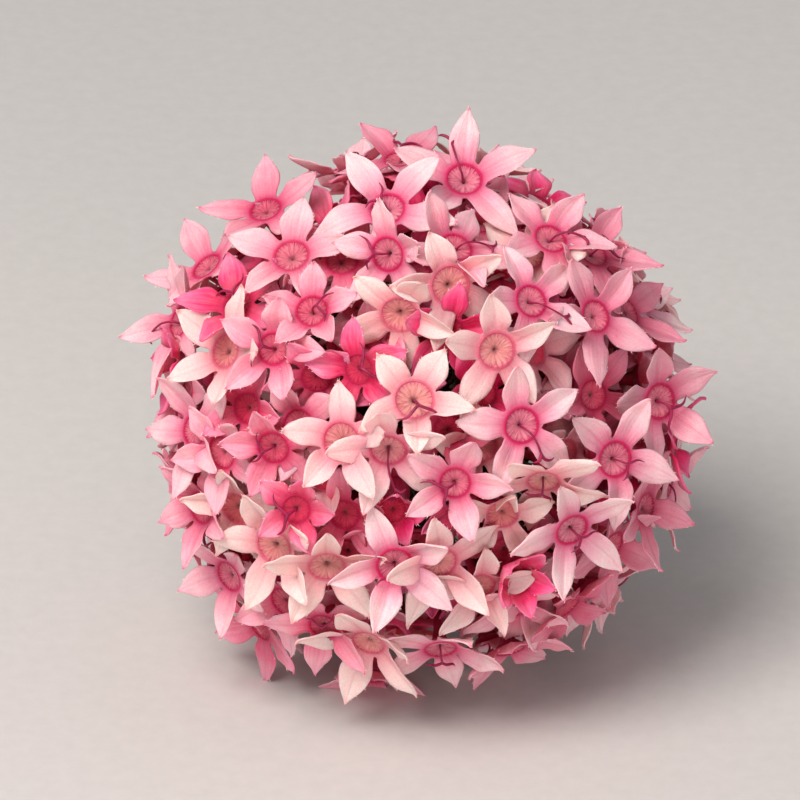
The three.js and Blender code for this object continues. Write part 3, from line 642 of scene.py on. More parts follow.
HAIR_RINGS = [(1.75, 0.0, 16), (1.4, -0.12, 12)]  # start radius, height, hairs
HAIR_LENGTH = 0.95
HAIR_DIP = 0.18  # radians that the hairs point down to the middle
hair_pieces = []
for start, height, number in HAIR_RINGS:
    bpy.ops.object.select_all(action="DESELECT")
    bpy.ops.mesh.primitive_cone_add(
        vertices=3, radius1=0.045, radius2=0, depth=HAIR_LENGTH, rotation=(0, -math.pi / 2 - HAIR_DIP, 0),
        location=(start - HAIR_LENGTH / 2, 0, height), enter_editmode=True,
    )
    hair_pieces.append(bpy.context.object)
    round_angle = 2 * math.pi * (number - 1) / number
    bpy.ops.mesh.spin(steps=number - 1, dupli=True, angle=round_angle, center=(0, 0, 0), axis=(0, 0, 1))
    bpy.ops.object.mode_set(mode="OBJECT")
    bpy.ops.object.transform_apply(location=True, rotation=True, scale=True)
hairs = hair_pieces[0]
select_only(hairs)
hair_pieces[1].select_set(True)
bpy.ops.object.join()
hairs.name = "hairs"
hairs.data.materials.append(THROAT_BRUSH)
print("brush and hairs:", triangles_of(brush) + triangles_of(hairs), "triangles")

# %% [markdown]
# The style is the thread that stands out of the throat. It ends in two lobes: in most florets they are
# short and curl back, in some they are long arms spread like a fork. A bevelled curve is the quickest way
# to a thread: three splines, each point with its own thickness, made a mesh once the shape is right.

# %% Model the long style and the forked one
STYLE_REACH = 3.0
STYLE_THICKNESS = 0.15
THREAD = [  # out, aside, up and share of the thickness
    (0.0, 0.0, -1.2, 0.8), (0.2, 0.0, 0.2, 0.8), (1.0, 0.1, 1.0, 0.8), (2.1, -0.1, 1.15, 0.85),
    (3.0, -0.4, 0.9, 0.9),
]
LOBE = [
    (3.0, -0.4, 0.9, 1.0), (3.5, -0.5, 0.8, 1.2), (3.95, -0.25, 0.65, 1.1), (4.2, 0.15, 0.6, 0.8),
    (4.15, 0.5, 0.7, 0.3),
]
OTHER_LOBE = [
    (3.0, -0.4, 0.9, 1.0), (3.35, -0.8, 0.95, 1.15), (3.4, -1.25, 0.85, 1.0), (3.2, -1.6, 0.6, 0.3),
]
SHORT_THREAD = [(0.0, 0.0, -1.2, 0.8), (0.1, 0.0, 0.2, 0.9), (0.4, 0.0, 0.9, 1.0), (0.9, 0.05, 1.25, 1.2)]
ARM = [
    (0.9, 0.05, 1.25, 1.1), (1.4, 0.5, 1.35, 1.2), (1.8, 1.1, 1.1, 1.15), (2.4, 1.6, 0.85, 0.9),
    (3.2, 1.7, 0.8, 0.3),
]
OTHER_ARM = [
    (0.9, 0.05, 1.25, 1.1), (1.2, -0.5, 1.3, 1.2), (1.7, -1.1, 1.15, 1.15), (1.9, -1.8, 0.9, 0.9),
    (1.6, -2.4, 0.85, 0.3),
]


def style_of(name, *splines):
    """A style from splines of points, each point with its share of the thickness."""
    thread = bpy.data.curves.new(name, "CURVE")
    thread.dimensions = "3D"
    thread.bevel_depth = STYLE_THICKNESS
    thread.bevel_resolution = 1
    thread.resolution_u = 3
    thread.use_fill_caps = True
    for points in splines:
        spline = thread.splines.new("NURBS")
        spline.points.add(len(points) - 1)
        spline.use_endpoint_u = True
        spline.order_u = 3
        for point, (x, y, z, thick) in zip(spline.points, points):
            point.co = (x, y, z, 1)
            point.radius = thick
    made_style = bpy.data.objects.new(name, thread)
    bpy.context.collection.objects.link(made_style)
    select_only(made_style)
    bpy.ops.object.convert(target="MESH")
    made_style = bpy.context.object
    made_style.data.materials.append(STYLE_TISSUE)
    bpy.ops.object.shade_smooth()
    print(name, "-", triangles_of(made_style), "triangles")
    return made_style


long_style = style_of("long_style", THREAD, LOBE, OTHER_LOBE)
forked_style = style_of("forked_style", SHORT_THREAD, ARM, OTHER_ARM)

# %% [markdown]
# The tube carries the corolla and is slim for most of its length. It is a ring extruded down in steps.
# It is modelled straight and bent when it is placed, so that it always runs from its throat to its calyx.

# %% Model the tube
TUBE_ROWS = [(1.3, -0.75), (0.95, -1.5), (0.68, -2.8), (0.52, -5.0), (0.46, -8.0), (0.5, -12.0)]
TUBE_TOP, TUBE_END = -TUBE_ROWS[0][1], -TUBE_ROWS[-1][1]
tube = ring_through("tube", TUBE_ROWS, 10)
bpy.ops.mesh.edge_face_add()
bpy.ops.mesh.select_all(action="SELECT")
bpy.ops.mesh.normals_make_consistent(inside=False)
bpy.ops.object.mode_set(mode="OBJECT")
tube.data.materials.append(TUBE_TISSUE)
bpy.ops.object.shade_smooth()
print("tube:", triangles_of(tube), "triangles")

# %% [markdown]
# A calyx is the green cup under each tube, with five narrow lobes, and short stiff hairs all over. The
# cup is a ring of ten extruded upwards. A lobe is drawn out of one fifth of its mouth, and four turned
# copies finish it, as on the corolla. It stands on a short stalk.

# %% Model the calyx
CUP_ROWS = [(0.35, -4.5), (0.35, -1.9), (0.8, -1.3), (0.95, -0.5), (0.8, 0.0)]
LOBE_ROWS = [(1.0, 0.7, 0.34), (1.3, 1.5, 0.24), (1.65, 2.3, 0.05)]  # radius, height, half its width
CALYX_TISSUE_THICKNESS = 0.12
calyx = ring_through("calyx", CUP_ROWS, 10, one_fifth=True)
out, high = CUP_ROWS[-1]
half = out * math.sin(math.radians(FIFTH / 2))
for next_out, next_high, next_half in LOBE_ROWS:
    next_row((next_out - out, 0, next_high - high), (1, next_half / half, 1), (out, 0, high))
    out, high, half = next_out, next_high, next_half
closed_by_turned_copies()
finish_with(calyx, "SOLIDIFY", thickness=CALYX_TISSUE_THICKNESS, offset=-1)
calyx.data.materials.append(CALYX_TISSUE)
bpy.ops.object.shade_smooth()
print("calyx:", triangles_of(calyx), "triangles")

# %% [markdown]
# ## Give each floret its own gesture
#
# No two florets are alike: petals rise, arch, twist, fold along the middle and lean aside, each a little
# differently. Bend and twist modifiers could do it for one petal, but not for five at once in 107
# florets, so this step moves the vertices by a formula. A petal's middle line is an arc whose slope is
# added up step by step. Its cross-section stands on that line: the fold lifts the sides, and the edges
# roll back.

# %% Where each vertex of a flat corolla is on its petal
row_out = [RIM] + [row[0] for row in PETAL_ROWS]
row_half = [RIM * math.sin(math.radians(FIFTH / 2))] + [row[1] for row in PETAL_ROWS]


def laid_out(master):
    """For each vertex: its petal, how far out, aside and along that it is, and its share of the width."""
    flat = points_of(master)
    turn = np.arctan2(flat[:, 1], flat[:, 0])
    distance = np.hypot(flat[:, 0], flat[:, 1])
    petal = np.round(np.degrees(turn) / FIFTH).astype(int) % 5
    aside = distance * np.sin(turn - np.radians(FIFTH * petal))
    half = np.interp(distance, row_out, row_half)
    return {
        "flat": flat,
        "petal": petal,
        "behind": distance * (np.cos(turn - np.radians(FIFTH * petal)) - 1),
        "aside": aside,
        "along": (distance - RIM) / (PETAL_TIP - RIM),
        "half": half,
        "across": np.clip(aside / half, -1, 1),
    }


COROLLA = laid_out(corolla)
INNER_COROLLA = laid_out(inner_corolla)
print("vertices on the petals:", int((COROLLA["along"] > 0).sum()), "of", len(COROLLA["along"]))

# %% The gestures
GESTURES = {  # rise, arch, twist, lean, fold: the middle of each range and how far it goes either way
    "open": ((17, 14), (2, 28), (0, 20), (0, 0.14), (0.24, 0.38)),
    "half": ((56, 8), (14, 10), (0, 12), (0, 0.05), (0.5, 0.1)),
    "folded": ((20, 34), (0, 34), (0, 34), (0, 0.15), (0.8, 0.25)),
    "bud": ((80, 4), (26, 5), (0, 6), (0, 0.02), (0.55, 0.1)),
}
RISE_SHARE = 0.15  # of a petal, over which it takes its rise
CLAW = 55  # degrees that the very tip turns up
CLAW_STARTS, CLAW_SHARE = 0.9, 0.1  # where the tip starts, and how much of the petal it is
RIPPLE = 0.16  # mm that a petal's edges wave
SAG = 0.4  # mm that gravity draws a long petal's tip down
LINE_STEPS = 40  # in which the slope of the middle line is added up

dice = random.Random(8)


def eased(value):
    """Goes from 0 to 1 with a soft start and end."""
    value = np.clip(value, 0, 1)
    return value * value * (3 - 2 * value)


def drawn_gesture(floret):
    """One petal's gesture: its free length, rise, arch, twist, lean, fold, width and ripple."""
    free = (floret["reach"] - RIM * floret["size"]) * dice.uniform(0.97, 1.07)
    bends = [middle + dice.uniform(-1, 1) * either for middle, either in GESTURES[floret["form"]]]
    width = dice.uniform(0.9, 1.06) * (0.7 + 0.3 * floret["reach"] / PETAL_TIP)
    return (free, *bends, width, dice.uniform(0, 2 * math.pi), dice.uniform(1.2, 2.6))


def with_gestures(layout, floret, gestures):
    """The corolla's vertices in millimetres, each petal with its gesture."""
    size = floret["size"]
    places = layout["flat"] * size
    steps = np.linspace(0, 1, LINE_STEPS + 1)
    for petal, gesture in enumerate(gestures):
        free, rise, arch, twist, lean, fold, width, ripple_at, waves = gesture
        claw = CLAW * eased((steps - CLAW_STARTS) / CLAW_SHARE)
        slopes = np.radians(rise * eased(steps / RISE_SHARE) + arch * steps + claw)
        line_out = RIM * size + np.concatenate(([0], np.cumsum(np.cos(slopes[1:])))) * free / LINE_STEPS
        line_up = np.concatenate(([0], np.cumsum(np.sin(slopes[1:])))) * free / LINE_STEPS
        mine = (layout["petal"] == petal) & (layout["along"] > 0)
        along = layout["along"][mine]
        across = layout["across"][mine]
        slope = np.interp(along, steps, slopes)
        spread = size + (width - size) * eased((along - 0.08) / 0.3)
        side = np.abs(across)
        hollow = fold * side ** 1.4 - 0.1 * side ** 4 - 0.07 * np.exp(-(across / 0.16) ** 2)
        lifted = layout["half"][mine] * spread * hollow * eased(along / 0.25)
        wave = np.sin(2 * math.pi * waves * along + ripple_at + across)
        ripple = RIPPLE * side ** 3 * wave * eased(along / 0.3)
        above = lifted + ripple + layout["flat"][mine, 2]
        beside = layout["aside"][mine] * spread * math.cos(math.atan(0.8 * fold))
        turned = math.radians(twist) * along
        beside, above = (
            beside * np.cos(turned) - above * np.sin(turned),
            beside * np.sin(turned) + above * np.cos(turned),
        )
        x = np.interp(along, steps, line_out) + layout["behind"][mine] * size - above * np.sin(slope)
        y = beside + lean * free * along ** 2
        z = np.interp(along, steps, line_up) + above * np.cos(slope)
        about = math.radians(FIFTH * petal)
        places[mine, 0] = x * math.cos(about) - y * math.sin(about)
        places[mine, 1] = x * math.sin(about) + y * math.cos(about)
        places[mine, 2] = z
    return places


# %% From a floret's own frame into the room
BEND_DEPTH = 5  # mm below the throat where the tube's curve turns in to the calyx
LAID_FLAT = 0.3  # mm above the table, below which petals are pressed flat


def in_the_room(places, origin, out, axis):
    """Places in a floret's own frame, moved into the room."""
    aside = np.cross(axis, out)
    across, sideways, along = (np.outer(places[:, n], way) for n, way in enumerate((out, aside, axis)))
    return origin + across + sideways + along


def bent_tube(floret):
    """The tube's vertices, on a curve from the throat to the calyx."""
    flat = points_of(tube)
    share = np.clip((-flat[:, 2] - TUBE_TOP) / (TUBE_END - TUBE_TOP), 0, 1)[:, None]
    outward = unit(floret["throat"] - HEAD_MIDDLE)
    start = floret["throat"] - floret["axis"] * TUBE_TOP * floret["size"]
    bend = floret["throat"] - floret["axis"] * BEND_DEPTH
    end = HEAD_MIDDLE + outward * CALYX_DISTANCE
    middle = start * (1 - share) ** 2 + bend * 2 * share * (1 - share) + end * share ** 2
    down = (bend - start) * (1 - share) + (end - bend) * share
    down = down / np.linalg.norm(down, axis=1)[:, None]
    first = floret["petal"] - down * (down @ floret["petal"])[:, None]
    first = first / np.linalg.norm(first, axis=1)[:, None]
    return middle + (first * flat[:, :1] + np.cross(first, down) * flat[:, 1:2]) * floret["size"]


def pressed_on_table(places):
    """What would reach below the table is pressed flat on it."""
    low = places[:, 2] < LAID_FLAT
    places[low, 2] = LAID_FLAT * np.exp(places[low, 2] / LAID_FLAT - 1)
    return places


def sagging(places, layout, floret):
    """Gravity draws the petals down, most at their tips."""
    along = np.clip(layout["along"], 0, 1.1)
    places[:, 2] -= SAG * (floret["reach"] / PETAL_TIP) * along ** 2
    return pressed_on_table(places)


# %% [markdown]
# ## Place the florets
#
# Each copy gets its own mesh. The corollas are joined in four layers from the table up, so that no piece
# grows too heavy, and the small parts in one piece of each kind.

# %% Copying a master into its place


def copy_in_place(master, places, look, facts=None):
    """A copy of a master with its own mesh, whose vertices go to these places in millimetres."""
    copy = bpy.data.objects.new(master.name, master.data.copy())
    bpy.context.collection.objects.link(copy)
    copy.data.vertices.foreach_set("co", (places * MM).astype(np.float32).ravel())
    for name, values in (("look", np.tile(look, (len(places), 1))), ("spot", facts)):
        if values is not None:
            layer = copy.data.attributes.new(name, "FLOAT_VECTOR", "POINT")
            layer.data.foreach_set("vector", np.asarray(values, np.float32).ravel())
    copy.data.update()
    return copy


def joined(name, copies, slot, *stands_for):
    """Joins the copies in one piece that rides on the head and stands for its solids."""
    select_only(copies[0])
    for copy in copies[1:]:
        copy.select_set(True)
    bpy.ops.object.join()
    piece = copies[0]
    piece.name = name
    piece.data.name = name
    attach(piece, "root")
    if stands_for:
        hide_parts(*stands_for)
    print(name, "-", triangles_of(piece), "triangles")
    return piece


# %% [markdown]
# Between the open florets one sees younger florets and buds that have not yet pushed up to the surface.
# They fill the gaps, so that nobody looks right through the head. A few are set one by one where the gaps
# between the open florets are widest; the rest follow the golden angle. They are small and half hidden,
# so they keep the plainer corolla.

# %% Younger florets and buds deeper in the head
HAND_SET = [  # across and up from the head's middle, as seen from the open side
    (0.5, 24.4), (13.2, 23.2), (-4.0, 26.4), (21.0, 15.5), (24.4, 4.0), (28.0, -3.2), (-8.1, -15.1),
    (9.1, -14.9), (7.5, 14.3), (-20.7, -15.2), (19.0, -10.0), (-27.0, 6.0), (3.0, -1.6),
]
HAND_SET_DISTANCE = 25.0
INNER_COUNT = 420
INNER_LIMIT = 135
INNER_DISTANCES = (20.5, 25.2)
OUTER_SPACING = 2.6
INNER_SPACING = 4.95
BUD_SHARE = 0.16
CRUMPLED_SHARE = 0.15


def inner_floret(outward, distance):
    """A younger floret or a bud, this far from the head's middle, with looks drawn at random."""
    turn = looks.uniform(0, 2 * math.pi)
    bud = looks.random() < BUD_SHARE
    crumpled = looks.random() < CRUMPLED_SHARE
    axis = unit(outward + [looks.uniform(-0.25, 0.25) for _ in range(3)])
    first = unit(np.cross(axis, ACROSS + 0.1 * GROWTH))
    petal = first * math.cos(turn) + np.cross(axis, first) * math.sin(turn)
    young = {
        "throat": HEAD_MIDDLE + outward * distance,
        "axis": axis,
        "petal": petal,
        "style": petal,
        "style_length": 0,
    }
    if bud:
        return {**young, "reach": 5.6, "look": (1.0, 0.0, 0.0), "size": 0.5, "form": "bud"}
    return {
        **young,
        "reach": looks.uniform(5.8, 6.8),
        "look": (looks.choice((0.6, 0.75, 0.9, 1.0)), looks.choice((0, 0, 0, 0.35)), 0.0),
        "size": 0.85,
        "form": "folded" if crumpled else "open",
    }


def nearest(place, others):
    return min((np.linalg.norm(place - other["throat"]) for other in others), default=math.inf)


inner_florets = []
for x, y in HAND_SET:
    distance = max(HAND_SET_DISTANCE, math.hypot(x, y) + 0.6)
    depth = math.sqrt(distance ** 2 - x * x - y * y)
    inner_florets.append(inner_floret(unit(ACROSS * x + OPEN_UP * y + TO_OPEN_SIDE * depth), distance))
for index in range(INNER_COUNT):
    outward = spiral_direction(index, INNER_LIMIT, INNER_COUNT)
    made_floret = inner_floret(outward, looks.uniform(*INNER_DISTANCES))
    if nearest(HEAD_MIDDLE + outward * THROAT_DISTANCE, florets) < OUTER_SPACING:
        continue
    if nearest(made_floret["throat"], inner_florets) < INNER_SPACING:
        continue
    inner_florets.append(made_floret)
print(len(inner_florets), "florets and buds deeper in")

# %% [markdown]
# Real petals press on their neighbours and bend aside. Letting them collide would take long, and a
# simpler way looks as good: each petal's gesture is drawn several times, and the one that cuts least
# through the florets already there is kept. A search tree of each plain corolla counts the cuts. A
# floret deeper in also gives up a little of its length with each draw, so that it stays below the others.

# %% Choose the gestures that cut least
TRIES = 12
INNER_SHORTER = 0.35  # share of its reach that an inner floret's petal gives up at most
NEIGHBOURHOOD = 17
brush_flat = points_of(brush)
plain_faces = [list(face.vertices) for face in inner_corolla.data.polygons]
first_of_brush = len(INNER_COROLLA["flat"])
plain_faces += [[corner + first_of_brush for corner in face.vertices] for face in brush.data.polygons]
petal_of_face = [int(INNER_COROLLA["petal"][face.vertices[0]]) for face in inner_corolla.data.polygons]
grown = []


def plain_tree(floret, gestures):
    """A search tree of the floret's plain corolla and throat, to find what it cuts through."""
    room = (floret["throat"], floret["petal"], floret["axis"])
    shape = in_the_room(with_gestures(INNER_COROLLA, floret, gestures), *room)
    shape = sagging(shape, INNER_COROLLA, floret)
    throat = in_the_room(brush_flat * floret["size"], *room)
    return BVHTree.FromPolygons(np.vstack((shape, throat)).tolist(), plain_faces)


def least_cutting(floret, shorter):
    """For each petal, the drawn gesture with which it cuts least through the florets already there."""
    near = [tree for throat, tree in grown if np.linalg.norm(throat - floret["throat"]) < NEIGHBOURHOOD]
    best = [None] * 5
    fewest = [math.inf] * 5
    for attempt in range(TRIES):
        floret = {**floret, "reach": floret["reach"] * (1 - shorter / TRIES)}
        gestures = [drawn_gesture(floret) for _ in range(5)]
        tree = plain_tree(floret, gestures)
        cuts = [0] * 5
        for other in near:
            for face, _ in tree.overlap(other):
                if face < len(petal_of_face):
                    cuts[petal_of_face[face]] += 1
        for petal in range(5):
            if cuts[petal] < fewest[petal]:
                fewest[petal] = cuts[petal]
                best[petal] = gestures[petal]
    grown.append((floret["throat"], plain_tree(floret, best)))
    return best


# %% Corollas, throats, hairs, styles and tubes
EDGE_HAIRS = 30
FORKED_UNDER = 3.3  # mm, the listed style length below which a style is forked
EDGE_FROM, EDGE_INSIDE = 0.35, 0.8  # shares of a petal's length and half width beyond which they stand
HAIR_UNEVENNESS = 0.048
HAIRS_READ_OUTER = 1.1  # hairs take the disc's colour from a little further out than they stand
SLANTED = (0.71, 0.29, 0.64)  # a direction along which no two edge vertices are level
MARK_STEPS = (5.3, 1.7)  # from floret to floret and from petal to petal, so that no two are marked alike
INNER_MARKS = 200  # where the inner florets' marks start
edge_roots = []
edge_ways = []
made = {"corollas": [], "inner": [], "brushes": [], "hairs": [], "styles": [], "tubes": []}
hairs_flat = points_of(hairs)
style_flats = {long_style: points_of(long_style), forked_style: points_of(forked_style)}


def edge_hair_roots(places, layout, throat):
    """Random vertices of the outer petal edges, with the way out of the throat there."""
    edge = np.flatnonzero((layout["along"] > EDGE_FROM) & (np.abs(layout["across"]) > EDGE_INSIDE))
    # a modelled mesh can number its vertices anew in each run, so they are put in a steady order first
    edge = edge[np.argsort(layout["flat"][edge] @ SLANTED)]
    chosen = [int(edge[dice.randrange(len(edge))]) for _ in range(EDGE_HAIRS)]
    return [places[one] for one in chosen], [unit(places[one] - throat) for one in chosen]


def place_floret(number, floret, master, layout, kind):
    """Puts one floret's corolla, throat, tube and style in their places."""
    room = (floret["throat"], floret["petal"], floret["axis"])
    size = floret["size"]
    look = floret["look"]
    shaped = with_gestures(layout, floret, least_cutting(floret, INNER_SHORTER if kind == "inner" else 0))
    petals = sagging(in_the_room(shaped, *room), layout, floret)
    marks = number * MARK_STEPS[0] + layout["petal"] * MARK_STEPS[1]
    facts = np.column_stack((layout["across"], layout["along"], marks))
    made[kind].append(copy_in_place(master, petals, look, facts))
    throat = pressed_on_table(in_the_room(brush_flat * size, *room))
    made["brushes"].append(copy_in_place(brush, throat, look, brush_flat))
    made["tubes"].append(copy_in_place(tube, pressed_on_table(bent_tube(floret)), look))
    if kind == "inner":
        return
    roots, ways = edge_hair_roots(petals, layout, floret["throat"])
    edge_roots.extend(roots)
    edge_ways.extend(ways)
    uneven = [[dice.uniform(-HAIR_UNEVENNESS, HAIR_UNEVENNESS) for _ in range(3)] for _ in hairs_flat]
    places = pressed_on_table(in_the_room((hairs_flat + uneven) * size, *room))
    made["hairs"].append(copy_in_place(hairs, places, look, hairs_flat * HAIRS_READ_OUTER))
    if floret["style_length"]:
        forked = floret["style_length"] < FORKED_UNDER
        style = forked_style if forked else long_style
        length = dice.uniform(0.75, 1.1) if forked else floret["style_length"] / STYLE_REACH
        either_hand = dice.choice((-1, 1))
        shaped = style_flats[style] * (length, either_hand * dice.uniform(0.7, 1.1), dice.uniform(0.8, 1.1))
        places = pressed_on_table(in_the_room(shaped, floret["throat"], floret["style"], floret["axis"]))
        made["styles"].append(copy_in_place(style, places, look))
        if either_hand < 0:
            made["styles"][-1].data.flip_normals()


florets.sort(key=lambda floret: floret["throat"][2])
for number, floret in enumerate(florets):
    place_floret(number, floret, corolla, COROLLA, "corollas")
for number, floret in enumerate(inner_florets):
    place_floret(INNER_MARKS + number, floret, inner_corolla, INNER_COROLLA, "inner")

LAYERS = ("lowest", "lower", "upper", "uppermost")
for layer, name in enumerate(LAYERS):
    share = made["corollas"][layer * len(florets) // 4:(layer + 1) * len(florets) // 4]
    joined("corollas_" + name, share, "petals", *(["florets"] if layer == 0 else []))
for kind, name in (
    ("inner", "inner_florets"), ("brushes", "throat_brushes"), ("hairs", "throat_hairs"),
    ("styles", "styles"), ("tubes", "tubes"),
):
    joined(name, made[kind], "petals")

# %% [markdown]
# ## Inside the head
#
# Between the tubes there are the calyces, packed round the branches. Each floret has one, and the spiral
# goes on round the back with calyces whose florets have dropped. A small bumpy ball behind them stands for
# the stalks that nobody can tell apart; its green is darkened almost to black with painted shade.

# %% Calyces
BACK_COUNT = 180
BACK_LIMIT = 158
CALYX_SPACING = 0.24  # between directions from the head's middle
calyx_flat = points_of(calyx)
directions = [unit(floret["throat"] - HEAD_MIDDLE) for floret in florets]
for index in range(BACK_COUNT):
    outward = spiral_direction(index, BACK_LIMIT, BACK_COUNT)
    if min(np.linalg.norm(outward - other) for other in directions) > CALYX_SPACING:
        directions.append(outward)
calyces = []
for outward in directions:
    first = unit(np.cross(outward, ACROSS + 0.1 * GROWTH))
    spin = dice.uniform(0, 2 * math.pi)
    out = first * math.cos(spin) + np.cross(outward, first) * math.sin(spin)
    uneven = calyx_flat * (dice.uniform(0.9, 1.15), dice.uniform(0.9, 1.15), dice.uniform(0.85, 1.15))
    origin = HEAD_MIDDLE + outward * (CALYX_DISTANCE + dice.uniform(-0.8, 0.4))
    calyces.append(copy_in_place(calyx, in_the_room(uneven, origin, out, outward), (0, 0, 0)))
print(len(calyces), "calyces")
calyces = joined("calyces", calyces, "stem")

# %% The packed stalks
STALKS_RADIUS = 12.8
LUMP = 1.6
bpy.ops.object.select_all(action="DESELECT")
bpy.ops.mesh.primitive_ico_sphere_add(subdivisions=5, radius=STALKS_RADIUS * MM, location=HEAD_MIDDLE * MM)
stalks = bpy.context.object
stalks.name = "packed_stalks"
bpy.ops.object.transform_apply(location=True)
lumps = bpy.data.textures.new("stalk_lumps", "CLOUDS")
lumps.noise_scale = LUMP * MM
finish_with(stalks, "DISPLACE", texture=lumps, strength=LUMP * MM, mid_level=0.5, texture_coords="GLOBAL")
stalks.data.materials.append(SHADED_STALK_GREEN)
bpy.ops.object.shade_smooth()
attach(stalks, "root")
print("packed stalks:", triangles_of(stalks), "triangles")

# %% [markdown]
# Pentas is downy all over its green parts. The down is one thin cone, sown many times as the same mesh:
# a few faces each, tipped at random from straight out. The petal edges carry a few finer hairs.

# %% Sow hairs
HAIR_THICKNESS = 0.05
TIPPED = 0.45
bpy.ops.object.select_all(action="DESELECT")
bpy.ops.mesh.primitive_cone_add(
    vertices=3, radius1=HAIR_THICKNESS, radius2=0, depth=1, location=(0, 0, 0.5)
)
hair = bpy.context.object
bpy.ops.object.transform_apply(location=True)
hair.data.materials.append(PLANT_DOWN)
hair_flat = points_of(hair)
hair_faces = [list(face.vertices) for face in hair.data.polygons]


def sown_hairs(name, roots, outwards, lengths, material):
    """One piece of many hairs, each from its root straight out, a little tipped."""
    lengths = [dice.uniform(*lengths) for _ in roots]
    vertices = []
    faces = []
    for root, outward, length in zip(roots, outwards, lengths):
        tipped = unit(outward + np.array([dice.uniform(-TIPPED, TIPPED) for _ in range(3)]))
        first = unit(np.cross(tipped, (0.31, 0.52, 0.79)))
        faces += [[corner + len(vertices) for corner in face] for face in hair_faces]
        places = in_the_room(hair_flat * (1, 1, length), root, first, tipped)
        vertices += list(pressed_on_table(places) * MM)
    mesh = bpy.data.meshes.new(name)
    mesh.from_pydata([tuple(v) for v in vertices], [], faces)
    piece = bpy.data.objects.new(name, mesh)
    bpy.context.collection.objects.link(piece)
    mesh.materials.append(material)
    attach(piece, "root")
    print(name, "-", len(lengths), "hairs,", triangles_of(piece), "triangles")
    return piece


def surface_points(piece, number, wanted):
    """Random points on a placed piece's wanted faces, with the normals there, in millimetres."""
    polygons = [p for p in piece.data.polygons if wanted(p)]
    chosen = dice.choices(polygons, weights=[p.area for p in polygons], k=number)
    spots = []
    for polygon in chosen:
        weights = np.array([dice.random() for _ in polygon.vertices])
        corners = np.array([piece.data.vertices[i].co for i in polygon.vertices]) / MM
        spots.append(weights @ corners / weights.sum())
    return spots, [np.array(p.normal) for p in chosen]


roots, outwards = surface_points(calyces, 2600, lambda p: p.area > 0)
sown_hairs("petal_edge_hairs", edge_roots, edge_ways, (0.18, 0.42), EDGE_HAIR)
sown_hairs("calyx_hairs", roots, outwards, (0.4, 0.9), PLANT_DOWN)

# %% [markdown]
# ## The stem
#
# The stem comes out of the head, bends down under the weight of the head and lies on the table. It is a
# Bezier curve with a round bevel, a little thicker where the leaves stand, made a mesh at the end. The
# branches that carry the head are curves as well. Its skin is fibrous along its length and flushed brown
# in places. The cut end shows paler pith. Here "spot" is the place on the stem.

# %% Downy green stem and pale pith


def downy_stem():
    material, surface = new_material(
        "downy_stem", {"Roughness": 0.65, "Sheen Weight": 0.4, "Specular IOR Level": 0.3}
    )
    spot = add_node(material, "Attribute", {"attribute_name": "spot"}).outputs["Vector"]
    body = add_node(material, "TexCoord").outputs["Object"]
    drawn_out = add_node(material, "VectorMath", {"operation": "MULTIPLY", 1: (2.2, 2.2, 0.16)}, {0: spot})
    fibres = add_node(material, "TexNoise", {"Scale": 1.6, "Detail": 4.0}, {"Vector": drawn_out})
    flush = add_node(material, "TexNoise", {"Scale": 160.0, "Detail": 2.0}, {"Vector": body})
    green = add_node(material, "ValToRGB", {"stops": [
        (0.3, "#5F7238"), (0.5, "#7F9150"), (0.7, "#A3AE72"),
    ]}, {"Fac": fibres})
    flushed = add_node(
        material, "MapRange", {"From Min": 0.5, "From Max": 0.72, "To Max": 0.55}, {"Value": flush}
    )
    colour = add_node(material, "Mix", {**MIXED, 7: "#8A5A45"}, {0: flushed, 6: green})
    relief = add_node(material, "Bump", {"Strength": 0.5, "Distance": 0.2 * MM}, {"Height": fibres})
    connect(material, surface, {"Base Color": colour, "Normal": relief})
    return material


DOWNY_STEM = downy_stem()
PITH = speckled("cut_pith", "#B9C08C", "#E3E4C4", 0.35, 0.08, {"Roughness": 0.8})

# %% Bend the stem and the branches
STEM_RADIUS = 1.66
BRANCH_RADIUS = 0.85
LYING_HEIGHT = 1.663
STEM_TOP = 16.2
TABLE_CONTACT = 33.0
STEM_LENGTH_ON_TABLE = 34.0
LEAF_NODE = 41.0
NODE_HALF = 2.5
BRANCHES = 7
BRANCH_ANGLES = (180, 166, 152, 138)  # degrees from the growth line at each point of a branch


def bent_rod(name, points, thickness, sides, material):
    """A rod along Bezier points: for each its place, the way out of it, its handle and its thickness."""
    line = bpy.data.curves.new(name, "CURVE")
    line.dimensions = "3D"
    line.bevel_depth = thickness
    line.bevel_resolution = (sides - 4) // 2
    line.resolution_u = 10
    line.use_fill_caps = True
    spline = line.splines.new("BEZIER")
    spline.bezier_points.add(len(points) - 1)
    for knot, (place, way, handle, thick) in zip(spline.bezier_points, points):
        knot.co = place
        knot.handle_left = place - unit(way) * handle
        knot.handle_right = place + unit(way) * handle
        knot.radius = thick
    rod = bpy.data.objects.new(name, line)
    bpy.context.collection.objects.link(rod)
    select_only(rod)
    bpy.ops.object.convert(target="MESH")
    rod = bpy.context.object
    rod.data.materials.append(material)
    bpy.ops.object.shade_smooth()
    return rod


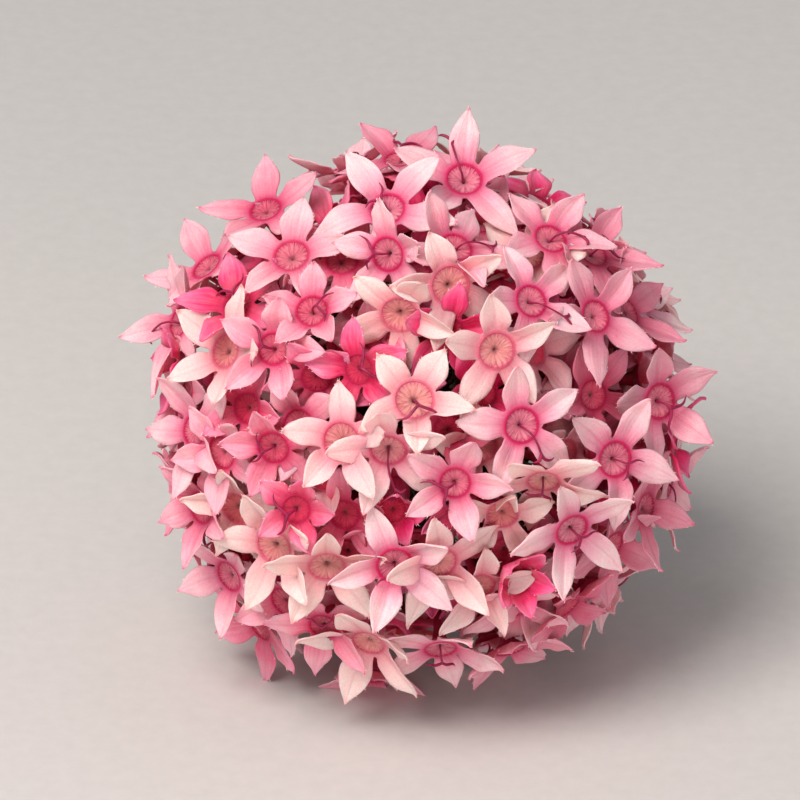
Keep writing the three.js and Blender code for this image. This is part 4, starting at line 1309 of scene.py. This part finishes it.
top = HEAD_MIDDLE - GROWTH * STEM_TOP
contact = np.array((HEAD_MIDDLE[0], HEAD_MIDDLE[1] + TABLE_CONTACT, LYING_HEIGHT))
node = np.array((HEAD_MIDDLE[0], HEAD_MIDDLE[1] + LEAF_NODE, LYING_HEIGHT))
end = contact + (0, STEM_LENGTH_ON_TABLE, 0)
ALONG_TABLE = np.array((0.0, 1.0, 0.0))
stem = bent_rod("stem_main", [
    (top + GROWTH * 2, -GROWTH, 1, 0.9),
    (top, -GROWTH, 13, 1.0),
    (contact, ALONG_TABLE, 11, 0.97),
    (node - (0, NODE_HALF, 0), ALONG_TABLE, 1.6, 0.98),
    (node, ALONG_TABLE, 1.2, 1.16),
    (node + (0, NODE_HALF, 0), ALONG_TABLE, 1.6, 0.98),
    (end, ALONG_TABLE, 8, 1.0),
], STEM_RADIUS, 16, DOWNY_STEM)
rods = [stem]
for branch in range(BRANCHES):
    azimuth = 2 * math.pi * branch / BRANCHES
    sideways = ACROSS * math.cos(azimuth) + SECOND * math.sin(azimuth)
    points = []
    for step, polar in enumerate(BRANCH_ANGLES):
        angle = math.radians(polar)
        outward = GROWTH * math.cos(angle) + sideways * math.sin(angle)
        place = HEAD_MIDDLE + outward * (STEM_TOP - 0.15 * step)
        way = GROWTH * math.sin(angle) - sideways * math.cos(angle)
        points.append((place, way, 1.3, 1.0 - 0.13 * step))
    rods.append(bent_rod("branch", points, BRANCH_RADIUS, 10, DOWNY_STEM))
stem_pieces = []
for rod in rods:
    places = points_of(rod)
    stem_pieces.append(copy_in_place(rod, pressed_on_table(places.copy()), (0, 0, 0), places))
stem = joined("stem_and_branches", stem_pieces, "stem", "stem")

# %% The cut end, and down on the stem
stem.data.materials.append(PITH)
cut_from = (end[1] - 0.5) * MM
for polygon in stem.data.polygons:
    if polygon.normal.y > 0.95 and polygon.center.y > cut_from:
        polygon.material_index = len(stem.data.materials) - 1
roots, outwards = surface_points(stem, 2600, lambda p: p.center.z > 0.4 * MM and p.center.y < cut_from)
sown_hairs("stem_down", roots, outwards, (0.35, 0.8), PLANT_DOWN)

# %% [markdown]
# ## The leaves
#
# Below the head stands one pair of leaves, soft and quilted: the side veins are sunk in the upper face
# and the tissue between them swells up. A grid is the natural start for a blade, and a formula that takes
# each vertex from its place on the grid to the arched, waved and quilted blade keeps the leaf in the same
# place as its solid. The stalk and the midrib are a tapered rod under it.
#
# The leaf tissue is satin green above and paler below, with pale veins and a fine net between them. Its
# "spot" is across, along and 1 on the under side, so the drawn veins run where the shape has them.

# %% Soft leaf tissue
VEINS = 12
VEIN_SWEEP = 0.14


def leaf_tissue():
    material, surface = new_material("leaf_tissue", {
        "Roughness": 0.5, "Specular IOR Level": 0.35, "Sheen Weight": 0.2,
        "Subsurface Weight": 0.15, "Subsurface Radius": (0.5, 1.0, 0.25), "Subsurface Scale": 0.0005,
    })
    spot = add_node(material, "Attribute", {"attribute_name": "spot"}).outputs["Vector"]
    body = add_node(material, "TexCoord").outputs["Object"]
    across, along, under = add_node(material, "SeparateXYZ", links={0: spot}).outputs
    offside = add_node(material, "Math", {"operation": "ABSOLUTE"}, {0: across})
    swept = {"operation": "MULTIPLY_ADD", 1: -VEIN_SWEEP}
    swept = add_node(material, "Math", swept, {0: offside, 2: along})
    veins_at = add_node(material, "Math", {"operation": "MULTIPLY", 1: VEINS}, {0: swept})
    between = add_node(material, "Math", {"operation": "PINGPONG", 1: 0.5}, {0: veins_at})
    side_vein = add_node(
        material, "MapRange", {"From Min": 0.0, "From Max": 0.1, "To Min": 0.75, "To Max": 0.0},
        {"Value": between},
    )
    midrib = add_node(
        material, "MapRange", {"From Min": 0.015, "From Max": 0.06, "To Min": 1.0, "To Max": 0.0},
        {"Value": offside},
    )
    vein = add_node(material, "Math", {"operation": "MAXIMUM"}, {0: side_vein, 1: midrib})
    net = add_node(
        material, "TexVoronoi", {"feature": "DISTANCE_TO_EDGE", "Scale": 900.0}, {"Vector": body}
    )
    patch = add_node(material, "TexNoise", {"Scale": 260.0, "Detail": 3.0}, {"Vector": body})
    upper = add_node(material, "ValToRGB", {"stops": [(0.35, "#38602A"), (0.7, "#5A8040")]}, {"Fac": patch})
    lower = add_node(material, "ValToRGB", {"stops": [(0.35, "#7C955E"), (0.7, "#94AA74")]}, {"Fac": patch})
    face = add_node(material, "Mix", MIXED, {0: under, 6: upper, 7: lower})
    veined = add_node(material, "Mix", {**MIXED, 7: "#A3B57A"}, {0: vein, 6: face})
    net_line = add_node(
        material, "MapRange", {"From Min": 0.0, "From Max": 0.12, "To Min": 0.3, "To Max": 0.0},
        {"Value": net},
    )
    netted = add_node(material, "Mix", {**MIXED, 7: "#2E4F20"}, {0: net_line, 6: veined})
    relief = add_node(material, "Bump", {"Strength": 0.6, "Distance": 0.2 * MM}, {"Height": net})
    connect(material, surface, {"Base Color": netted, "Normal": relief})
    return material


LEAF_TISSUE = leaf_tissue()

# %% Model a leaf on each side
LEAF_LENGTH = 31.0
LEAF_HALF_WIDTH = 6.5
LEAF_THICKNESS = 0.28
LEAF_ARCH = 4.2
LEAF_FOLD = 1.6
LEAF_WAVE = 0.5
LEAF_WAVES = 2.5
LEAF_SPREAD = 50
STALK_SHARE = 0.16
STALK_HALF, TIP_HALF = 0.8, 0.15  # half widths of the stalk and of the tip
RIB = [(-0.06, 1.0), (0.06, 0.85), (0.2, 0.6), (0.45, 0.36), (0.72, 0.2), (0.96, 0.08)]  # along, thickness
RIB_RADIUS = 0.75


def open_blade(along):
    """How far along the blade itself a place is, past the stalk."""
    return np.clip((along - STALK_SHARE) / (1 - STALK_SHARE), 0, 1)


def blade_height(along, across):
    """How high the blade stands at a place on it: its arch, fold, waved edge, sunk veins and swellings."""
    swell = np.sin(math.pi * open_blade(along))
    arched = LEAF_ARCH * np.sin(math.pi * np.minimum(1, 1.06 * along))
    wave = LEAF_WAVE * np.sin(2 * math.pi * LEAF_WAVES * along + across)
    edge = np.abs(across) * swell * (LEAF_FOLD + wave)
    to_vein = np.abs((along - VEIN_SWEEP * np.abs(across)) * VEINS % 1 - 0.5)
    quilt = 0.3 * (np.sin(math.pi * np.minimum(1, 2.4 * (0.5 - to_vein))) - 1) * (1 - across ** 4)
    rib = -0.4 * np.exp(-(across / 0.09) ** 2)
    return arched + edge + swell * (quilt + rib)


def leaf(name, hand):
    """One leaf with its midrib and its down, on one hand of the stem."""
    bpy.ops.object.select_all(action="DESELECT")
    bpy.ops.mesh.primitive_grid_add(x_subdivisions=30, y_subdivisions=96, size=2)
    blade = bpy.context.object
    grid = points_of(blade)
    across = grid[:, 0]
    along = (grid[:, 1] + 1) / 2
    widened = LEAF_HALF_WIDTH * np.sin(math.pi * open_blade(along) ** 0.8)
    half = STALK_HALF + (TIP_HALF - STALK_HALF) * along + widened
    base = np.array((HEAD_MIDDLE[0] + hand * 2.1, HEAD_MIDDLE[1] + LEAF_NODE, 1.8))
    spread = math.radians(LEAF_SPREAD)
    forward = np.array((hand * math.sin(spread), math.cos(spread), 0.0))
    sideways = np.cross((0, 0, 1), forward)
    places = base + np.outer(LEAF_LENGTH * along, forward) + np.outer(half * across, sideways)
    places[:, 2] += blade_height(along, across)
    placed = copy_in_place(blade, places, (0, 0, 0), np.column_stack((across, along, 0 * along)))
    placed.data.materials.append(LEAF_TISSUE)
    bpy.data.objects.remove(blade)
    finish_with(placed, "SOLIDIFY", thickness=LEAF_THICKNESS * MM, offset=0)
    select_only(placed)
    bpy.ops.object.shade_smooth()
    spots = placed.data.attributes["spot"].data
    for polygon in placed.data.polygons:
        if polygon.normal.z < 0:
            for corner in polygon.vertices:
                spots[corner].vector[2] = 1.0
    line = []
    for share, thick in RIB:
        rise = float(blade_height(np.array([max(share, 0.0)]), np.array([0.0]))[0])
        place = base + forward * LEAF_LENGTH * share + (0, 0, rise - 0.05 - 0.3 * thick)
        line.append((place, forward, 1.5, thick))
    rib = bent_rod("rib", line, RIB_RADIUS, 10, LEAF_TISSUE)
    rib_looks = np.tile((0, 0.5, 1), (len(rib.data.vertices), 1))
    ribbed = copy_in_place(rib, points_of(rib), (0, 0, 0), rib_looks)
    bpy.data.objects.remove(rib)
    piece = joined(name + "_blade", [placed, ribbed], "leaves", name)
    roots, outwards = surface_points(piece, 900, lambda p: p.center.z > 0.8 * MM)
    sown_hairs(name + "_down", roots, outwards, (0.25, 0.5), PLANT_DOWN)


leaf("leaf_left", -1)
leaf("leaf_right", 1)

# %% [markdown]
# The masters have done their work and go, so that only finished pieces are left.

# %% Put the masters away
for master in (corolla, inner_corolla, brush, hairs, long_style, forked_style, tube, calyx, hair, *rods):
    bpy.data.objects.remove(master)

# %% [markdown]
# ## Table, light and camera
#
# The table is a pale matt board. The light is that of a bright overcast day: one big soft lamp high on
# the left, a weaker one low on the right and an even sky. The camera looks at the open side of the head
# through a long lens, so that far and near florets keep their true proportions.

# %% Table
TABLE_WIDTH = 6.0  # m
bpy.ops.object.select_all(action="DESELECT")
bpy.ops.mesh.primitive_plane_add(size=TABLE_WIDTH, location=(0, 0, 0))
table = bpy.context.object
table.name = "table"
table.data.materials.append(TABLE_BOARD)

# %% Light
LAMP_SIZE = 0.4
SKY_STRENGTH = 0.38


def soft_lamp(name, toward, distance, watts, colour):
    """A square lamp that shines at the head's middle from this direction."""
    toward = unit(toward)
    bpy.ops.object.light_add(type="AREA", location=HEAD_MIDDLE * MM + toward * distance)
    lamp = bpy.context.object
    lamp.name = name
    lamp.data.size = LAMP_SIZE
    lamp.data.energy = watts
    lamp.data.color = linear(colour)[:3]
    lamp.rotation_euler = Vector(-toward).to_track_quat("-Z", "Y").to_euler()


soft_lamp("sky_window", -0.42 * ACROSS + 0.62 * OPEN_UP + 0.9 * TO_OPEN_SIDE, 0.7, 5.6, "#FFF6F3")
soft_lamp("fill", 0.25 * ACROSS - 0.5 * OPEN_UP + 1.0 * TO_OPEN_SIDE, 0.9, 3.8, "#FFF8F5")
world = bpy.data.worlds.new("even_sky")
world.use_nodes = True
sky = world.node_tree.nodes["Background"]
sky.inputs["Color"].default_value = linear("#F4F6FA")
sky.inputs["Strength"].default_value = SKY_STRENGTH
bpy.context.scene.world = world
bpy.context.scene.view_settings.view_transform = "Standard"

# %% Camera
SCALE = 9.0  # points of the picture to the millimetre at the head's middle
VIEW_WIDTH = 800 / SCALE
CAMERA_DISTANCE = 1.0
SENSOR_WIDTH = 36
aim_at = HEAD_MIDDLE - ACROSS * 21 / SCALE + OPEN_UP * 14 / SCALE
bpy.ops.object.camera_add(location=aim_at * MM + TO_OPEN_SIDE * CAMERA_DISTANCE)
camera = bpy.context.object
camera.rotation_euler = Vector(-TO_OPEN_SIDE).to_track_quat("-Z", "Y").to_euler()
camera.data.sensor_width = SENSOR_WIDTH
camera.data.lens = SENSOR_WIDTH * CAMERA_DISTANCE / (VIEW_WIDTH * MM)
camera.data.clip_start = 0.01
camera.data.clip_end = 20
bpy.context.scene.camera = camera
